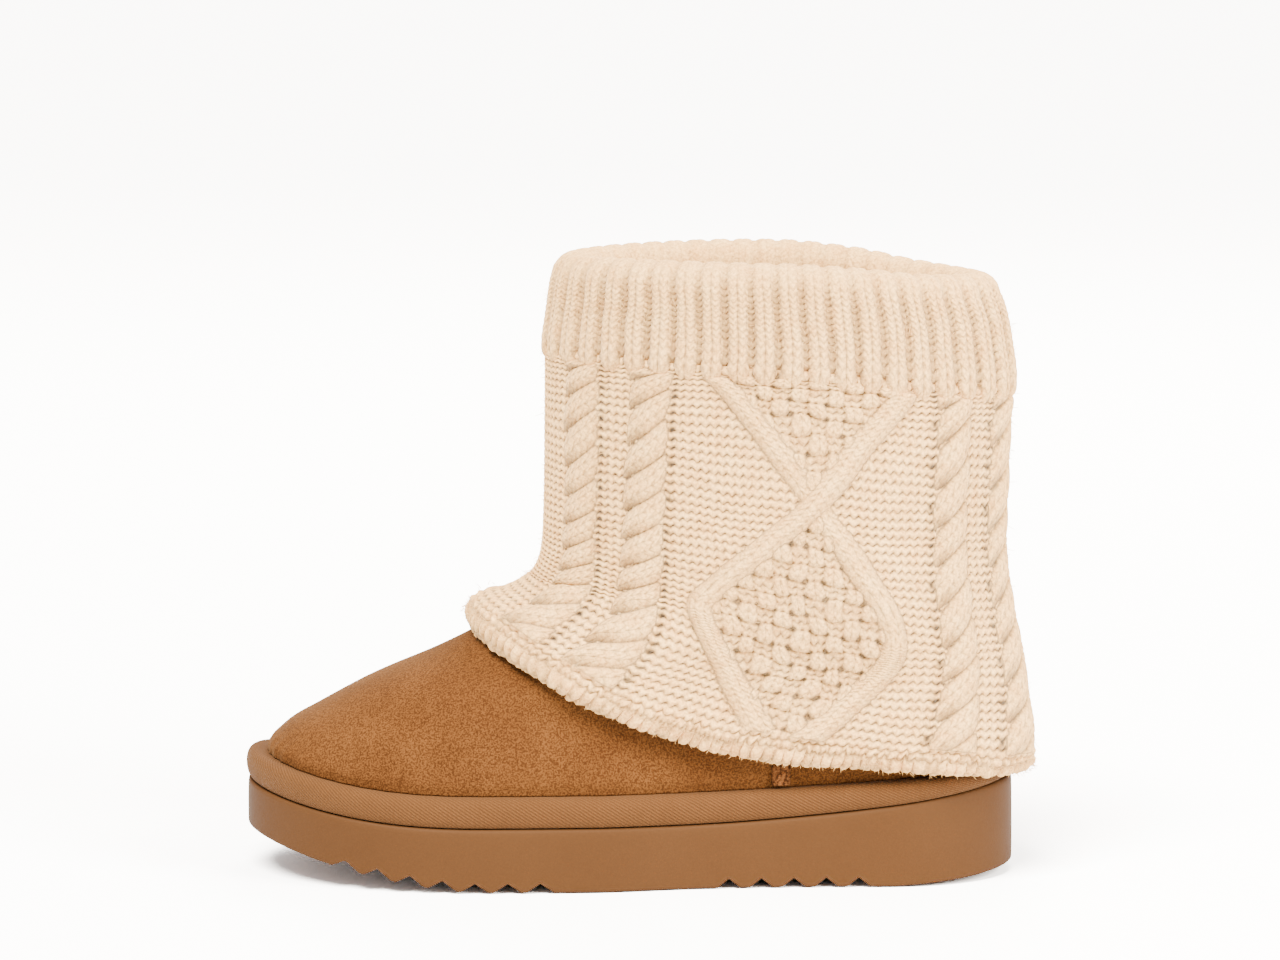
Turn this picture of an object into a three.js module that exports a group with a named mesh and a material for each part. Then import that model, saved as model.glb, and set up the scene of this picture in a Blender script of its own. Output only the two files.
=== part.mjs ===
import * as THREE from "three";

// A women's ankle boot of the warm slip-on kind, as a left shoe: a suede upper on a wrapped platform
// and a thick foam outsole, with a knitted cuff that hooks over the collar and hangs down outside.
// Millimetres. The toe points to -X, the outer side of the foot to -Y, and the sole stands on Z = 0.

// Driving dimensions of the sole
const soleLength = 270;
const ballWidth = 104;
const waistWidth = 84;
const heelWidth = 80;
const toeTipShift = 6; // the toe's tip lies this far towards the inner side

const outsoleHeight = 22; // under the ball
const bandHeight = 10.8; // the wrapped platform's side, at the waist
const toeSpring = 15.5; // the outsole's lower edge at the toe
const heelBevel = 3.5; // the same at the heel
const outsoleToeRise = 9.6; // the outsole's upper edge at the toe, above the ball
const outsoleHeelRise = 12.4;
const outsoleEdgeRound = 3; // the lower edge's rounding
const bandToeRise = 9.7; // the band's upper edge at the toe, above the waist
const bandHeelRise = 7.6;
const bandEdgeRound = 3.2; // how far the cover rolls in over the platform's upper edge

const lugPitch = 11.3;
const lugDepth = 2.8;
const lugNotchWidth = 8.4;
const frontLugs = 7;
const rearLugs = 5;

// Driving dimensions of the upper and the pieces on it
const ankleHeight = 120; // where the shaft's rings lie level
const collarFrontHeight = 210.5;
const collarBackHeight = 203;
const shaftWidth = 85;
const upperWall = 3;
const upperSetback = 4.5; // the upper stands this far inside the platform's edge
const insoleThickness = 5;
const seamBeadWidth = 5.6;
const seamBeadHeight = 1.7;

const knitThickness = 4.2;
const hemLip = 0.03; // the outer face ends this share of the knit's height above its lower edge
const cableHeight = 2.4;
const cuffStandOff = 4; // how far off the suede the knit hangs, beside the ankle
const turnedInLength = 24; // the knit's hidden leg inside the collar
const collarRoll = 7.5; // how far the roll stands over the upper's top edge
const stitchesAround = 132;

const gap = 0.3; // between pieces that touch

// Where things lie along the sole, as shares of its length from the toe
const ballShare = 0.307;
const frontLugShare = 0.135;
const rearLugShare = 0.628;
const heelBevelShare = 0.833;
const heelRiseShare = 0.556;
const sideSeamShare = 0.695;

const clamp01 = (v) => Math.min(1, Math.max(0, v));
const mix = (a, b, t) => a + (b - a) * t;

// A smooth curve through a table's rows: cubic between rows, level beyond the ends, and never past a row.
function throughRows(rows, from, to) {
  const xs = rows.map((row) => row[from]);
  const ys = rows.map((row) => row[to]);
  const last = xs.length - 1;
  const rise = xs.slice(0, -1).map((x, i) => (ys[i + 1] - ys[i]) / (xs[i + 1] - x));
  const slope = xs.map((_, i) => {
    if (i === 0 || i === last || rise[i - 1] * rise[i] <= 0) return 0;
    return (2 * rise[i - 1] * rise[i]) / (rise[i - 1] + rise[i]);
  });
  slope[0] = rise[0];
  slope[last] = rise[last - 1];
  return (x) => {
    if (x <= xs[0]) return ys[0];
    if (x >= xs[last]) return ys[last];
    const i = xs.findIndex((_, k) => x < xs[k + 1]);
    const h = xs[i + 1] - xs[i];
    const t = (x - xs[i]) / h;
    const t2 = t * t;
    const t3 = t2 * t;
    return (
      ys[i] * (2 * t3 - 3 * t2 + 1) +
      slope[i] * h * (t3 - 2 * t2 + t) +
      ys[i + 1] * (3 * t2 - 2 * t3) +
      slope[i + 1] * h * (t3 - t2)
    );
  };
}

// How far a rounded end has opened at a distance from its tip: 0 at the tip, 1 past its reach.
function endRound(distance, reach, power) {
  const left = 1 - clamp01(distance / reach);
  return (1 - left ** power) ** (1 / power);
}

const xAt = (share) => (share - 0.5) * soleLength;
const shareAt = (x) => clamp01(x / soleLength + 0.5);

// The sole's body half-widths along its length, before its ends are rounded
const plan = [
  { at: 0.0, outer: 0.46 * ballWidth, inner: 0.48 * ballWidth },
  { at: 0.15, outer: 0.49 * ballWidth, inner: 0.5 * ballWidth },
  { at: 0.3, outer: 0.505 * ballWidth, inner: 0.495 * ballWidth },
  { at: 0.45, outer: 0.49 * ballWidth, inner: 0.45 * ballWidth },
  { at: 0.6, outer: 0.52 * waistWidth, inner: 0.48 * waistWidth },
  { at: 0.75, outer: 0.51 * heelWidth, inner: 0.49 * heelWidth },
  { at: 0.9, outer: 0.5 * heelWidth, inner: 0.5 * heelWidth },
];
const planOuter = throughRows(plan, "at", "outer");
const planInner = throughRows(plan, "at", "inner");
const planHalf = (share, side) => (side < 0 ? planOuter(share) : planInner(share));
const planCentre = (share) => toeTipShift * (1 - clamp01(share / ballShare)) ** 1.5;

// Heights along the sole
const toeWay = (share) => clamp01(1 - share / ballShare);
const heelWay = (share) => clamp01((share - heelRiseShare) / (1 - heelRiseShare));
const bevelWay = (share) => clamp01((share - heelBevelShare) / (1 - heelBevelShare));
const groundZ = (share) => toeSpring * toeWay(share) ** 1.45 + heelBevel * bevelWay(share) ** 1.5;
const outsoleTopZ = (share) =>
  outsoleHeight + outsoleToeRise * toeWay(share) ** 2.1 + outsoleHeelRise * heelWay(share) ** 1.65;
const bandTopZ = (share) =>
  outsoleHeight +
  bandHeight +
  bandToeRise * toeWay(share) ** 2.25 +
  bandHeelRise * heelWay(share) ** 1.5;

// A place round the boot is an angle: 0 at the toe, a quarter turn at the outer side, a half turn at the heel.
const alongOf = (angle) => (1 - Math.cos(angle)) / 2;
const sideOf = (angle) => (Math.sin(angle) >= 0 ? -1 : 1);
const ringOf = (angles, place) => angles.map((angle) => place(angle));

// Angles that put a ring's points on the same stations along both sides
function anglesAt(alongs) {
  const outer = alongs.map((along) => Math.acos(1 - 2 * along));
  const inner = outer.slice(1, -1).map((angle) => 2 * Math.PI - angle);
  return [...outer, ...inner.reverse()];
}
const evenAlongs = (count) => Array.from({ length: count + 1 }, (_, i) => alongOf((Math.PI * i) / count));

const toeReachShare = 0.245;
const toePower = 2.2;
const heelReachShare = 0.17;
const heelPower = 2.15;

function solePlanPoint(angle) {
  const share = alongOf(angle);
  const side = sideOf(angle);
  const round =
    endRound(share, toeReachShare, toePower) * endRound(1 - share, heelReachShare, heelPower);
  return new THREE.Vector2(xAt(share), planCentre(share) + side * planHalf(share, side) * round);
}

// The sole's outline, moved inwards along its own normal
function soleOutline(angle, inset) {
  const step = 0.02;
  const point = solePlanPoint(angle);
  const run = solePlanPoint(angle + step).sub(solePlanPoint(angle - step)).normalize();
  return new THREE.Vector2(point.x - run.y * inset, point.y + run.x * inset);
}

// Mesh helpers: rings of equal length joined into closed bodies

function bodyFrom(points, triangles) {
  const geometry = new THREE.BufferGeometry();
  geometry.setAttribute("position", new THREE.Float32BufferAttribute(points.flatMap((p) => [p.x, p.y, p.z]), 3));
  geometry.setIndex(triangles.flat());
  geometry.computeVertexNormals();
  return geometry;
}

// The band of faces between two rings, cut along the diagonal that joins the two points of greater weight
function bandFaces(lower, upper, count, weight) {
  const faces = [];
  for (let j = 0; j < count; j++) {
    const k = (j + 1) % count;
    const [a, b, c, d] = [lower + j, lower + k, upper + k, upper + j];
    if (weight && weight[b] + weight[d] > weight[a] + weight[c]) faces.push([a, b, d], [b, c, d]);
    else faces.push([a, b, c], [a, c, d]);
  }
  return faces;
}

// Rings that close on themselves, as a wall with an outer and an inner face has
function wallBody(rings, weight) {
  const count = rings[0].length;
  const faces = rings.flatMap((_, i) =>
    bandFaces(i * count, ((i + 1) % rings.length) * count, count, weight),
  );
  return bodyFrom(rings.flat(), faces);
}

// A lid across a ring, as rungs between its two sides
function lidFaces(start, count, facingUp) {
  const faces = [];
  const half = count / 2;
  const inner = (k) => start + ((count - k) % count);
  for (let k = 0; k < half; k++) {
    if (k < half - 1) faces.push([start + k, start + k + 1, inner(k + 1)]);
    else faces.push([start + k, start + half, inner(k)]);
    if (k > 0 && k < half - 1) faces.push([start + k, inner(k + 1), inner(k)]);
  }
  return facingUp ? faces : faces.map(([a, b, c]) => [a, c, b]);
}

// A plate: rings from the bottom up, with a lid at each end
function plateBody(rings) {
  const count = rings[0].length;
  const faces = [
    ...lidFaces(0, count, false),
    ...rings.slice(1).flatMap((_, i) => bandFaces(i * count, (i + 1) * count, count)),
    ...lidFaces((rings.length - 1) * count, count, true),
  ];
  return bodyFrom(rings.flat(), faces);
}

// A bar: one outline carried along a path of frames, closed by a fan at each end
function barBody(sections) {
  const count = sections[0].length;
  const points = sections.flat();
  const end = (sections.length - 1) * count;
  const faces = sections.slice(1).flatMap((_, i) => bandFaces(i * count, (i + 1) * count, count));
  for (let j = 1; j < count - 1; j++) {
    faces.push([0, j + 1, j], [end, end + j, end + j + 1]);
  }
  return bodyFrom(points, faces);
}

// Outsole: foam, with rows of notches cut across it under the forefoot and the heel

// Places of the notches' edges and deepest lines along the sole
function lugStations() {
  const half = lugNotchWidth / 2 / soleLength;
  const row = (first, count) =>
    Array.from({ length: count }, (_, i) => first + (i * lugPitch) / soleLength).flatMap((middle) => [
      { at: middle - half, lift: 0 },
      { at: middle, lift: lugDepth },
      { at: middle + half, lift: 0 },
    ]);
  return [...row(frontLugShare, frontLugs), ...row(rearLugShare, rearLugs)];
}

function outsoleBody() {
  const lugs = lugStations();
  const firstLug = lugs[0].at;
  const lastLug = lugs[lugs.length - 1].at;
  const waist = [lugs[3 * frontLugs - 1].at, lugs[3 * frontLugs].at];
  const spread = (from, to, shares) => shares.map((s) => ({ at: mix(from, to, s), lift: 0 }));
  const stations = [
    ...spread(0, firstLug, [0, 0.015, 0.06, 0.14, 0.26, 0.42, 0.6, 0.8]),
    ...lugs.slice(0, 3 * frontLugs),
    ...spread(waist[0], waist[1], [0.33, 0.67]),
    ...lugs.slice(3 * frontLugs),
    ...spread(lastLug, 1, [0.2, 0.4, 0.57, 0.71, 0.82, 0.9, 0.955, 0.99, 1]),
  ];
  const angles = anglesAt(stations.map((station) => station.at));
  const lifts = angles.map((angle) => {
    const along = alongOf(angle);
    return stations.reduce((best, s) => (Math.abs(s.at - along) < Math.abs(best.at - along) ? s : best)).lift;
  });
  const side = (inset, height) =>
    angles.map((angle, i) => {
      const { x, y } = soleOutline(angle, inset);
      return new THREE.Vector3(x, y, height(shareAt(x), lifts[i]));
    });
  const round = outsoleEdgeRound;
  const middle = (share) => mix(groundZ(share) + round, outsoleTopZ(share), 0.55);
  return plateBody([
    side(round, (share, lift) => groundZ(share) + lift),
    side(0.2 * round, (share, lift) => groundZ(share) + 0.7 * round + lift * 0.45),
    side(0, (share) => groundZ(share) + 1.6 * round),
    side(0.03 * round, middle),
    side(0.23 * round, outsoleTopZ),
  ]);
}

// Midsole: the platform wrapped in a textile cover, whose side is the band round the boot

function midsoleBody() {
  const angles = anglesAt(evenAlongs(26));
  const bottom = (share) => outsoleTopZ(share) + gap;
  // The inset is a share of the edge's rounding, and less than 0 where the cover bulges out
  const rows = [
    { inset: 0.28, rise: 0 },
    { inset: -0.1, rise: 0.16 },
    { inset: -0.16, rise: 0.5 },
    { inset: 0.03, rise: 0.8 },
    { inset: 0.38, rise: 0.94 },
    { inset: 1, rise: 1 },
  ];
  return plateBody(
    rows.map((row) =>
      angles.map((angle) => {
        const { x, y } = soleOutline(angle, row.inset * bandEdgeRound);
        const share = shareAt(x);
        return new THREE.Vector3(x, y, mix(bottom(share), bandTopZ(share), row.rise));
      }),
    ),
  );
}

// Upper: one surface that is a function of the angle round the boot and of the rise,
// which is 0 at the platform, 1 at the ankle and 2 at the collar

// Front line: how far behind the toe's tip the ring begins. Back line: how far before the heel it ends.
const frontLine = [
  { rise: 0.0, back: 0.0245 },
  { rise: 0.032, back: 0.0274 },
  { rise: 0.102, back: 0.0433 },
  { rise: 0.157, back: 0.0589 },
  { rise: 0.235, back: 0.0904 },
  { rise: 0.307, back: 0.1219 },
  { rise: 0.371, back: 0.1533 },
  { rise: 0.424, back: 0.1848 },
  { rise: 0.512, back: 0.2474 },
  { rise: 0.579, back: 0.2919 },
  { rise: 0.672, back: 0.3481 },
  { rise: 0.713, back: 0.3704 },
  { rise: 0.764, back: 0.3926 },
  { rise: 0.833, back: 0.4056 },
  { rise: 0.908, back: 0.413 },
  { rise: 1.0, back: 0.4167 },
  { rise: 1.3, back: 0.4185 },
  { rise: 1.7, back: 0.4195 },
  { rise: 2.0, back: 0.4285 },
];
const backLine = [
  { rise: 0.0, before: 0.0205 },
  { rise: 0.15, before: 0.015 },
  { rise: 0.35, before: 0.015 },
  { rise: 0.6, before: 0.024 },
  { rise: 0.85, before: 0.033 },
  { rise: 1.0, before: 0.035 },
  { rise: 1.25, before: 0.033 },
  { rise: 1.65, before: 0.029 },
  { rise: 1.85, before: 0.036 },
  { rise: 2.0, before: 0.048 },
];
// The shape of each ring: its rounded ends as shares of its own length, the share of its width that is lost
// as the sides lean in, and how far it has turned from the foot's outline into the shaft's oval
const ringShape = [
  { rise: 0.0, toeReach: 0.25, toePower: 2.25, heelReach: 0.17, heelPower: 2.2, lean: 0, shaft: 0.0 },
  { rise: 0.15, toeReach: 0.25, toePower: 2.25, heelReach: 0.18, heelPower: 2.2, lean: 0.01, shaft: 0.06 },
  { rise: 0.35, toeReach: 0.3, toePower: 2.15, heelReach: 0.2, heelPower: 2.15, lean: 0.06, shaft: 0.2 },
  { rise: 0.55, toeReach: 0.41, toePower: 2.0, heelReach: 0.26, heelPower: 2.1, lean: 0.12, shaft: 0.5 },
  { rise: 0.8, toeReach: 0.49, toePower: 1.95, heelReach: 0.4, heelPower: 2.05, lean: 0.12, shaft: 0.85 },
  { rise: 1.0, toeReach: 0.5, toePower: 2.0, heelReach: 0.5, heelPower: 2.0, lean: 0.1, shaft: 1.0 },
];
const frontBack = throughRows(frontLine, "rise", "back");
const backBefore = throughRows(backLine, "rise", "before");
const toeReachOf = throughRows(ringShape, "rise", "toeReach");
const toePowerOf = throughRows(ringShape, "rise", "toePower");
const heelReachOf = throughRows(ringShape, "rise", "heelReach");
const heelPowerOf = throughRows(ringShape, "rise", "heelPower");
const leanOf = throughRows(ringShape, "rise", "lean");
const shaftOf = throughRows(ringShape, "rise", "shaft");

const frontX = (rise) => xAt(frontBack(rise));
const backX = (rise) => xAt(1 - backBefore(rise));

// The collar is level over its front half and falls away to the back
const collarLine = [
  { across: 0.0, fallen: 0.04 },
  { across: 0.15, fallen: 0.0 },
  { across: 0.5, fallen: 0.02 },
  { across: 0.7, fallen: 0.27 },
  { across: 0.84, fallen: 0.68 },
  { across: 1.0, fallen: 1.0 },
];
const collarFall = throughRows(collarLine, "across", "fallen");

function upperZ(x, rise) {
  const low = bandTopZ(shareAt(x)) + gap;
  if (rise <= 1) return mix(low, ankleHeight, rise);
  const across = clamp01((x - frontX(2)) / (backX(2) - frontX(2)));
  const collar = mix(collarFrontHeight, collarBackHeight, collarFall(across));
  return mix(ankleHeight, collar, rise - 1);
}

function upperPoint(angle, rise) {
  const along = alongOf(angle);
  const side = sideOf(angle);
  const [front, back] = [frontX(rise), backX(rise)];
  const length = back - front;
  const x = front + along * length;
  const share = shareAt(x);
  const shaft = shaftOf(rise);
  const footHalf = (planHalf(share, side) - upperSetback) * (1 - leanOf(rise));
  const half = mix(footHalf, shaftWidth / 2, shaft);
  const round =
    endRound(along, toeReachOf(rise), toePowerOf(rise)) *
    endRound(1 - along, heelReachOf(rise), heelPowerOf(rise));
  const centre = planCentre(share) * (1 - shaft);
  return new THREE.Vector3(x, centre + side * half * round, upperZ(x, rise));
}

function upperNormal(angle, rise) {
  const turn = 0.05;
  const lift = 0.015;
  const low = Math.min(2 - lift, Math.max(lift, rise));
  const across = upperPoint(angle + turn, low).sub(upperPoint(angle - turn, low));
  const up = upperPoint(angle, low + lift).sub(upperPoint(angle, low - lift));
  return across.cross(up).normalize();
}

// A point off the upper's outer face. Along its own rings at both edges, so that the edges stay level.
function offUpper(angle, rise, distance) {
  const normal = upperNormal(angle, rise);
  const edge = Math.max(clamp01((rise - 1.9) / 0.1), clamp01((0.04 - rise) / 0.04));
  normal.z *= 1 - edge;
  normal.normalize();
  return upperPoint(angle, rise).addScaledVector(normal, distance);
}

const upperAngles = anglesAt(evenAlongs(24));

function upperBody() {
  const rises = [0, 0.04, 0.1, 0.17, 0.25, 0.34, 0.43, 0.51, 0.58, 0.66, 0.75, 0.86, 1, 1.25, 1.6, 1.82, 2];
  const innerRises = [2, 1.82, 1.6, 1.25, 1, 0.8, 0.65, 0.51, 0.37, 0.22, 0.08, 0];
  const outer = rises.map((rise) => ringOf(upperAngles, (angle) => upperPoint(angle, rise)));
  const inner = innerRises.map((rise) => ringOf(upperAngles, (angle) => offUpper(angle, rise, -upperWall)));
  return wallBody([...outer, ...inner]);
}

// Insole: a plush board that fills the upper's foot, with a gap all round

// A point at a height over the platform and a distance inside the upper's outer face
function insideUpper(angle, height, distance) {
  let rise = 0;
  let point = offUpper(angle, rise, -distance);
  for (let i = 0; i < 6; i++) {
    const wanted = bandTopZ(shareAt(point.x)) + gap + height;
    rise = Math.max(0, rise + (wanted - point.z) / (ankleHeight - outsoleHeight - bandHeight));
    point = offUpper(angle, rise, -distance);
  }
  point.z = bandTopZ(shareAt(point.x)) + gap + height;
  return point;
}

function insoleBody() {
  const inset = upperWall + 2 * gap;
  const layer = (moreIn, up) =>
    ringOf(upperAngles, (angle) => insideUpper(angle, up * insoleThickness, inset + moreIn * insoleThickness));
  return plateBody([layer(0.12, 0), layer(0, 0.5), layer(0.32, 1)]);
}

// The point on the upper at a place along the sole, whatever the ring
function angleForX(x, rise) {
  const along = clamp01((x - frontX(rise)) / (backX(rise) - frontX(rise)));
  return Math.acos(1 - 2 * along);
}

// Side seams: a bead of suede over the joint between vamp and back, from the platform to the collar
function sideSeamBody(side) {
  const middleX = xAt(sideSeamShare);
  const top = 1.9;
  const rises = [0.01, 0.08, 0.16, 0.26, 0.38, 0.52, 0.68, 0.84, 1, 1.3, 1.6, top];
  const outline = [
    { across: -0.5, off: 0 },
    { across: 0.5, off: 0 },
    { across: 0.45, off: 0.6 },
    { across: 0.2, off: 1 },
    { across: -0.2, off: 1 },
    { across: -0.45, off: 0.6 },
  ];
  const sections = rises.map((rise) =>
    outline.map(({ across, off }) => {
      const outerAngle = angleForX(middleX + across * seamBeadWidth, rise);
      const angle = side < 0 ? outerAngle : 2 * Math.PI - outerAngle;
      return offUpper(angle, rise, gap + off * seamBeadHeight);
    }),
  );
  return barBody(side > 0 ? sections : sections.map((section) => [...section].reverse()));
}

// Knitted cuff: it hangs off the upper by a stand-off and follows its own rows of stitches.
// The row is 0 at the hem, 1 where the rib begins and 2 at the collar.

// The stand-offs at the front, the sides and the back are shares of cuffStandOff.
const cuffRows = [
  { row: 0.0, frontRise: 0.587, backRise: -0.057, level: 0, frontOff: 0.3, sideOff: 0.85, backOff: 2.15 },
  { row: 0.05, frontRise: 0.622, backRise: 0.03, level: 0.1, frontOff: 0.65, sideOff: 0.9, backOff: 2.15 },
  { row: 0.1, frontRise: 0.66, backRise: 0.11, level: 0.25, frontOff: 0.9, sideOff: 0.95, backOff: 1.95 },
  { row: 0.2, frontRise: 0.745, backRise: 0.28, level: 0.5, frontOff: 0.9, sideOff: 1, backOff: 1.35 },
  { row: 0.3, frontRise: 0.85, backRise: 0.45, level: 0.7, frontOff: 0.85, sideOff: 1, backOff: 1 },
  { row: 0.44, frontRise: 1.0, backRise: 0.69, level: 0.9, frontOff: 0.9, sideOff: 0.9, backOff: 0.75 },
  { row: 0.62, frontRise: 1.22, backRise: 1.0, level: 1, frontOff: 0.9, sideOff: 0.8, backOff: 0.65 },
  { row: 1.0, frontRise: 1.7, backRise: 1.6, level: 1, frontOff: 0.85, sideOff: 0.8, backOff: 0.7 },
  { row: 2.0, frontRise: 2.0, backRise: 2.0, level: 1, frontOff: 0.7, sideOff: 0.7, backOff: 0.65 },
];
const frontRiseOf = throughRows(cuffRows, "row", "frontRise");
const backRiseOf = throughRows(cuffRows, "row", "backRise");
const levelOf = throughRows(cuffRows, "row", "level");
const frontOffOf = throughRows(cuffRows, "row", "frontOff");
const sideOffOf = throughRows(cuffRows, "row", "sideOff");
const backOffOf = throughRows(cuffRows, "row", "backOff");

// The hem drops fast behind the instep and runs nearly level along the heel
const hemLine = [
  { along: 0.0, dropped: 0.0 },
  { along: 0.067, dropped: 0.116 },
  { along: 0.149, dropped: 0.252 },
  { along: 0.25, dropped: 0.411 },
  { along: 0.338, dropped: 0.532 },
  { along: 0.469, dropped: 0.657 },
  { along: 0.589, dropped: 0.745 },
  { along: 0.711, dropped: 0.794 },
  { along: 0.812, dropped: 0.843 },
  { along: 0.96, dropped: 0.955 },
  { along: 1.0, dropped: 1.0 },
];
const hemDrop = throughRows(hemLine, "along", "dropped");

// Where a place on the cuff lies on the upper under it: columns hang straight down from the collar.
function underCuff(angle, row) {
  const along = alongOf(angle);
  const dropped = mix(hemDrop(along), along, levelOf(row));
  const rise = mix(frontRiseOf(row), backRiseOf(row), dropped);
  const x = mix(frontX(frontRiseOf(row)), backX(backRiseOf(row)), along);
  const outer = angleForX(x, rise);
  return { angle: sideOf(angle) < 0 ? outer : 2 * Math.PI - outer, rise };
}

// The hem's cast-off edge is thick where it lies on the instep, by a share of the knit's thickness
const noseThickness = [
  { row: 0.0, extra: 0.62 },
  { row: 0.07, extra: 0.86 },
  { row: 0.11, extra: 0.21 },
  { row: 0.15, extra: 0 },
];
const noseExtra = throughRows(noseThickness, "row", "extra");

function cuffPoint(angle, row, thickness) {
  const along = alongOf(angle);
  const under = underCuff(angle, row);
  const ends = mix(frontOffOf(row), backOffOf(row), along);
  const off = mix(ends, sideOffOf(row), Math.sin(angle) ** 2) * cuffStandOff;
  const nose = noseExtra(row) * (1 - along) ** 6 * thickness;
  return offUpper(under.angle, under.rise, off + thickness + nose);
}

// The half circumference at the rib, as angles at even steps of a stitch
const halfStitches = stitchesAround / 2;
const stitchAngle = (() => {
  const steps = 180;
  const angles = Array.from({ length: steps + 1 }, (_, i) => (Math.PI * i) / steps);
  const points = angles.map((angle) => cuffPoint(angle, 1, 0));
  const lengths = [0];
  for (let i = 1; i <= steps; i++) lengths.push(lengths[i - 1] + points[i].distanceTo(points[i - 1]));
  const table = angles.map((angle, i) => ({ angle, stitch: (lengths[i] / lengths[steps]) * halfStitches }));
  return throughRows(table, "stitch", "angle");
})();

// The panels of the knit from the front's middle to the back's: each has its stitches and, for the mesh,
// the columns that it is cut into
const panels = [
  { kind: "plain", stitches: 6, columns: 3 },
  { kind: "rope", stitches: 6, columns: 3 },
  { kind: "purl", stitches: 2, columns: 1 },
  { kind: "rope", stitches: 6, columns: 3 },
  { kind: "diamond", stitches: 30, columns: 15 },
  { kind: "rope", stitches: 6, columns: 3 },
  { kind: "purl", stitches: 2, columns: 1 },
  { kind: "rope", stitches: 6, columns: 3 },
  { kind: "plain", stitches: 2, columns: 1 },
];
const panelStitches = panels.reduce((sum, panel) => sum + panel.stitches, 0);

// The columns of the mesh: each one's angle and the panel that it lies in
function cuffColumns() {
  let start = 0;
  const half = [];
  for (const panel of panels) {
    for (let i = 0; i < panel.columns; i++) {
      half.push({ stitch: start + (panel.stitches * i) / panel.columns, panel, inside: i / panel.columns });
    }
    start += panel.stitches;
  }
  const last = panels[panels.length - 1];
  half.push({ stitch: start, panel: last, inside: 1 });
  const scale = halfStitches / panelStitches;
  const outer = half.map((column) => ({ ...column, angle: stitchAngle(column.stitch * scale) }));
  const inner = outer
    .slice(1, -1)
    .map((column) => ({ ...column, angle: 2 * Math.PI - column.angle }))
    .reverse();
  return [...outer, ...inner];
}

// The diamond lattice: two strands that swing from side to side and cross
const diamondHeight = 0.661; // in rows, from one crossing to the next
const diamondCrossing = 0.707; // the upper crossing
const strandSwing = 11.7; // in stitches, from the panel's middle
const strandHalfWidth = 2;

function strandOffset(row) {
  const phase = (row - diamondCrossing) / diamondHeight;
  const zigzag = Math.asin(0.96 * Math.sin(Math.PI * phase)) / Math.asin(0.96);
  return strandSwing * zigzag;
}

// How much a place is raised over the plain knit, from 0 to 1
function cableShare(column, row) {
  if (row > 1) return 0;
  const { panel, inside } = column;
  const fade = clamp01((1 - row) / 0.04);
  if (panel.kind === "rope") return fade * (inside > 0 && inside < 1 ? 1 : 0);
  if (panel.kind === "diamond") {
    const fromMiddle = (inside - 0.5) * panel.stitches;
    const offset = strandOffset(row);
    const nearest = Math.min(Math.abs(fromMiddle - offset), Math.abs(fromMiddle + offset));
    return fade * clamp01(1.15 - nearest / strandHalfWidth);
  }
  return 0;
}

function cuffBody() {
  const columns = cuffColumns();
  const bodySteps = 18;
  const bodyRows = Array.from({ length: bodySteps + 1 }, (_, i) => i / bodySteps);
  const ribRows = [1.35, 1.7, 2];
  const weights = [];
  const rings = [];
  const addRing = (place, raised = () => 0) => {
    rings.push(columns.map(place));
    weights.push(...columns.map(raised));
  };
  const onFace = (row, thickness, raised = () => 0) =>
    addRing((column) => cuffPoint(column.angle, row, thickness + cableHeight * raised(column)), raised);

  // Over the collar: half rings about the middle of the upper's top edge, as a loose roll
  const overCollar = (turn, thickness) =>
    addRing((column) => {
      const angle = underCuff(column.angle, 2).angle;
      const outside = cuffPoint(column.angle, 2, thickness);
      const inside = offUpper(angle, 2, -upperWall - 2 * gap - thickness);
      const across = outside.clone().sub(inside).multiplyScalar(0.5);
      const middle = outside.clone().add(inside).multiplyScalar(0.5);
      middle.addScaledVector(across, Math.cos(turn));
      middle.z += Math.sin(turn) * (collarRoll - knitThickness + thickness);
      return middle;
    });
  // The leg turned in, at a depth under the collar and off the wall's inner face
  const turnedIn = (depth, thickness) =>
    addRing((column) => {
      const angle = underCuff(column.angle, 2).angle;
      const shaftHeight = upperPoint(angle, 2).z - ankleHeight;
      return offUpper(angle, 2 - depth / shaftHeight, -upperWall - 2 * gap - thickness);
    });

  const shell = knitThickness;
  const turns = [0.14, 0.3, 0.5, 0.7, 0.86].map((share) => share * Math.PI);

  addRing((column) => cuffPoint(column.angle, hemLip / 3, shell * 0.7));
  for (const row of bodyRows) onFace(Math.max(row, hemLip), shell, (column) => cableShare(column, row));
  for (const row of ribRows) onFace(row, shell);
  for (const turn of turns) overCollar(turn, shell);
  turnedIn(0, shell);
  turnedIn(turnedInLength, shell);
  turnedIn(turnedInLength, 0);
  turnedIn(0, 0);
  for (const turn of [...turns].reverse()) overCollar(turn, 0);
  for (const row of [2, 1.7, 1.4, 1.15, 0.85, 0.7, 0.58, 0.47, 0.38, 0.3, 0.22, 0.14, 0.07, 0]) onFace(row, 0);
  return wallBody(rings, weights);
}

// The parts, each with its finish

const finishes = {
  foam: new THREE.MeshStandardMaterial({ color: 0xb07c4e, roughness: 0.75 }),
  wrap: new THREE.MeshStandardMaterial({ color: 0xb98657, roughness: 0.85 }),
  suede: new THREE.MeshStandardMaterial({ color: 0xb0713a, roughness: 0.95 }),
  plush: new THREE.MeshStandardMaterial({ color: 0xe9d8c0, roughness: 1.0 }),
  knit: new THREE.MeshStandardMaterial({ color: 0xf2e2cc, roughness: 1.0 }),
};

function part(name, geometry, material) {
  const mesh = new THREE.Mesh(geometry, material);
  mesh.name = name;
  return mesh;
}

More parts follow.
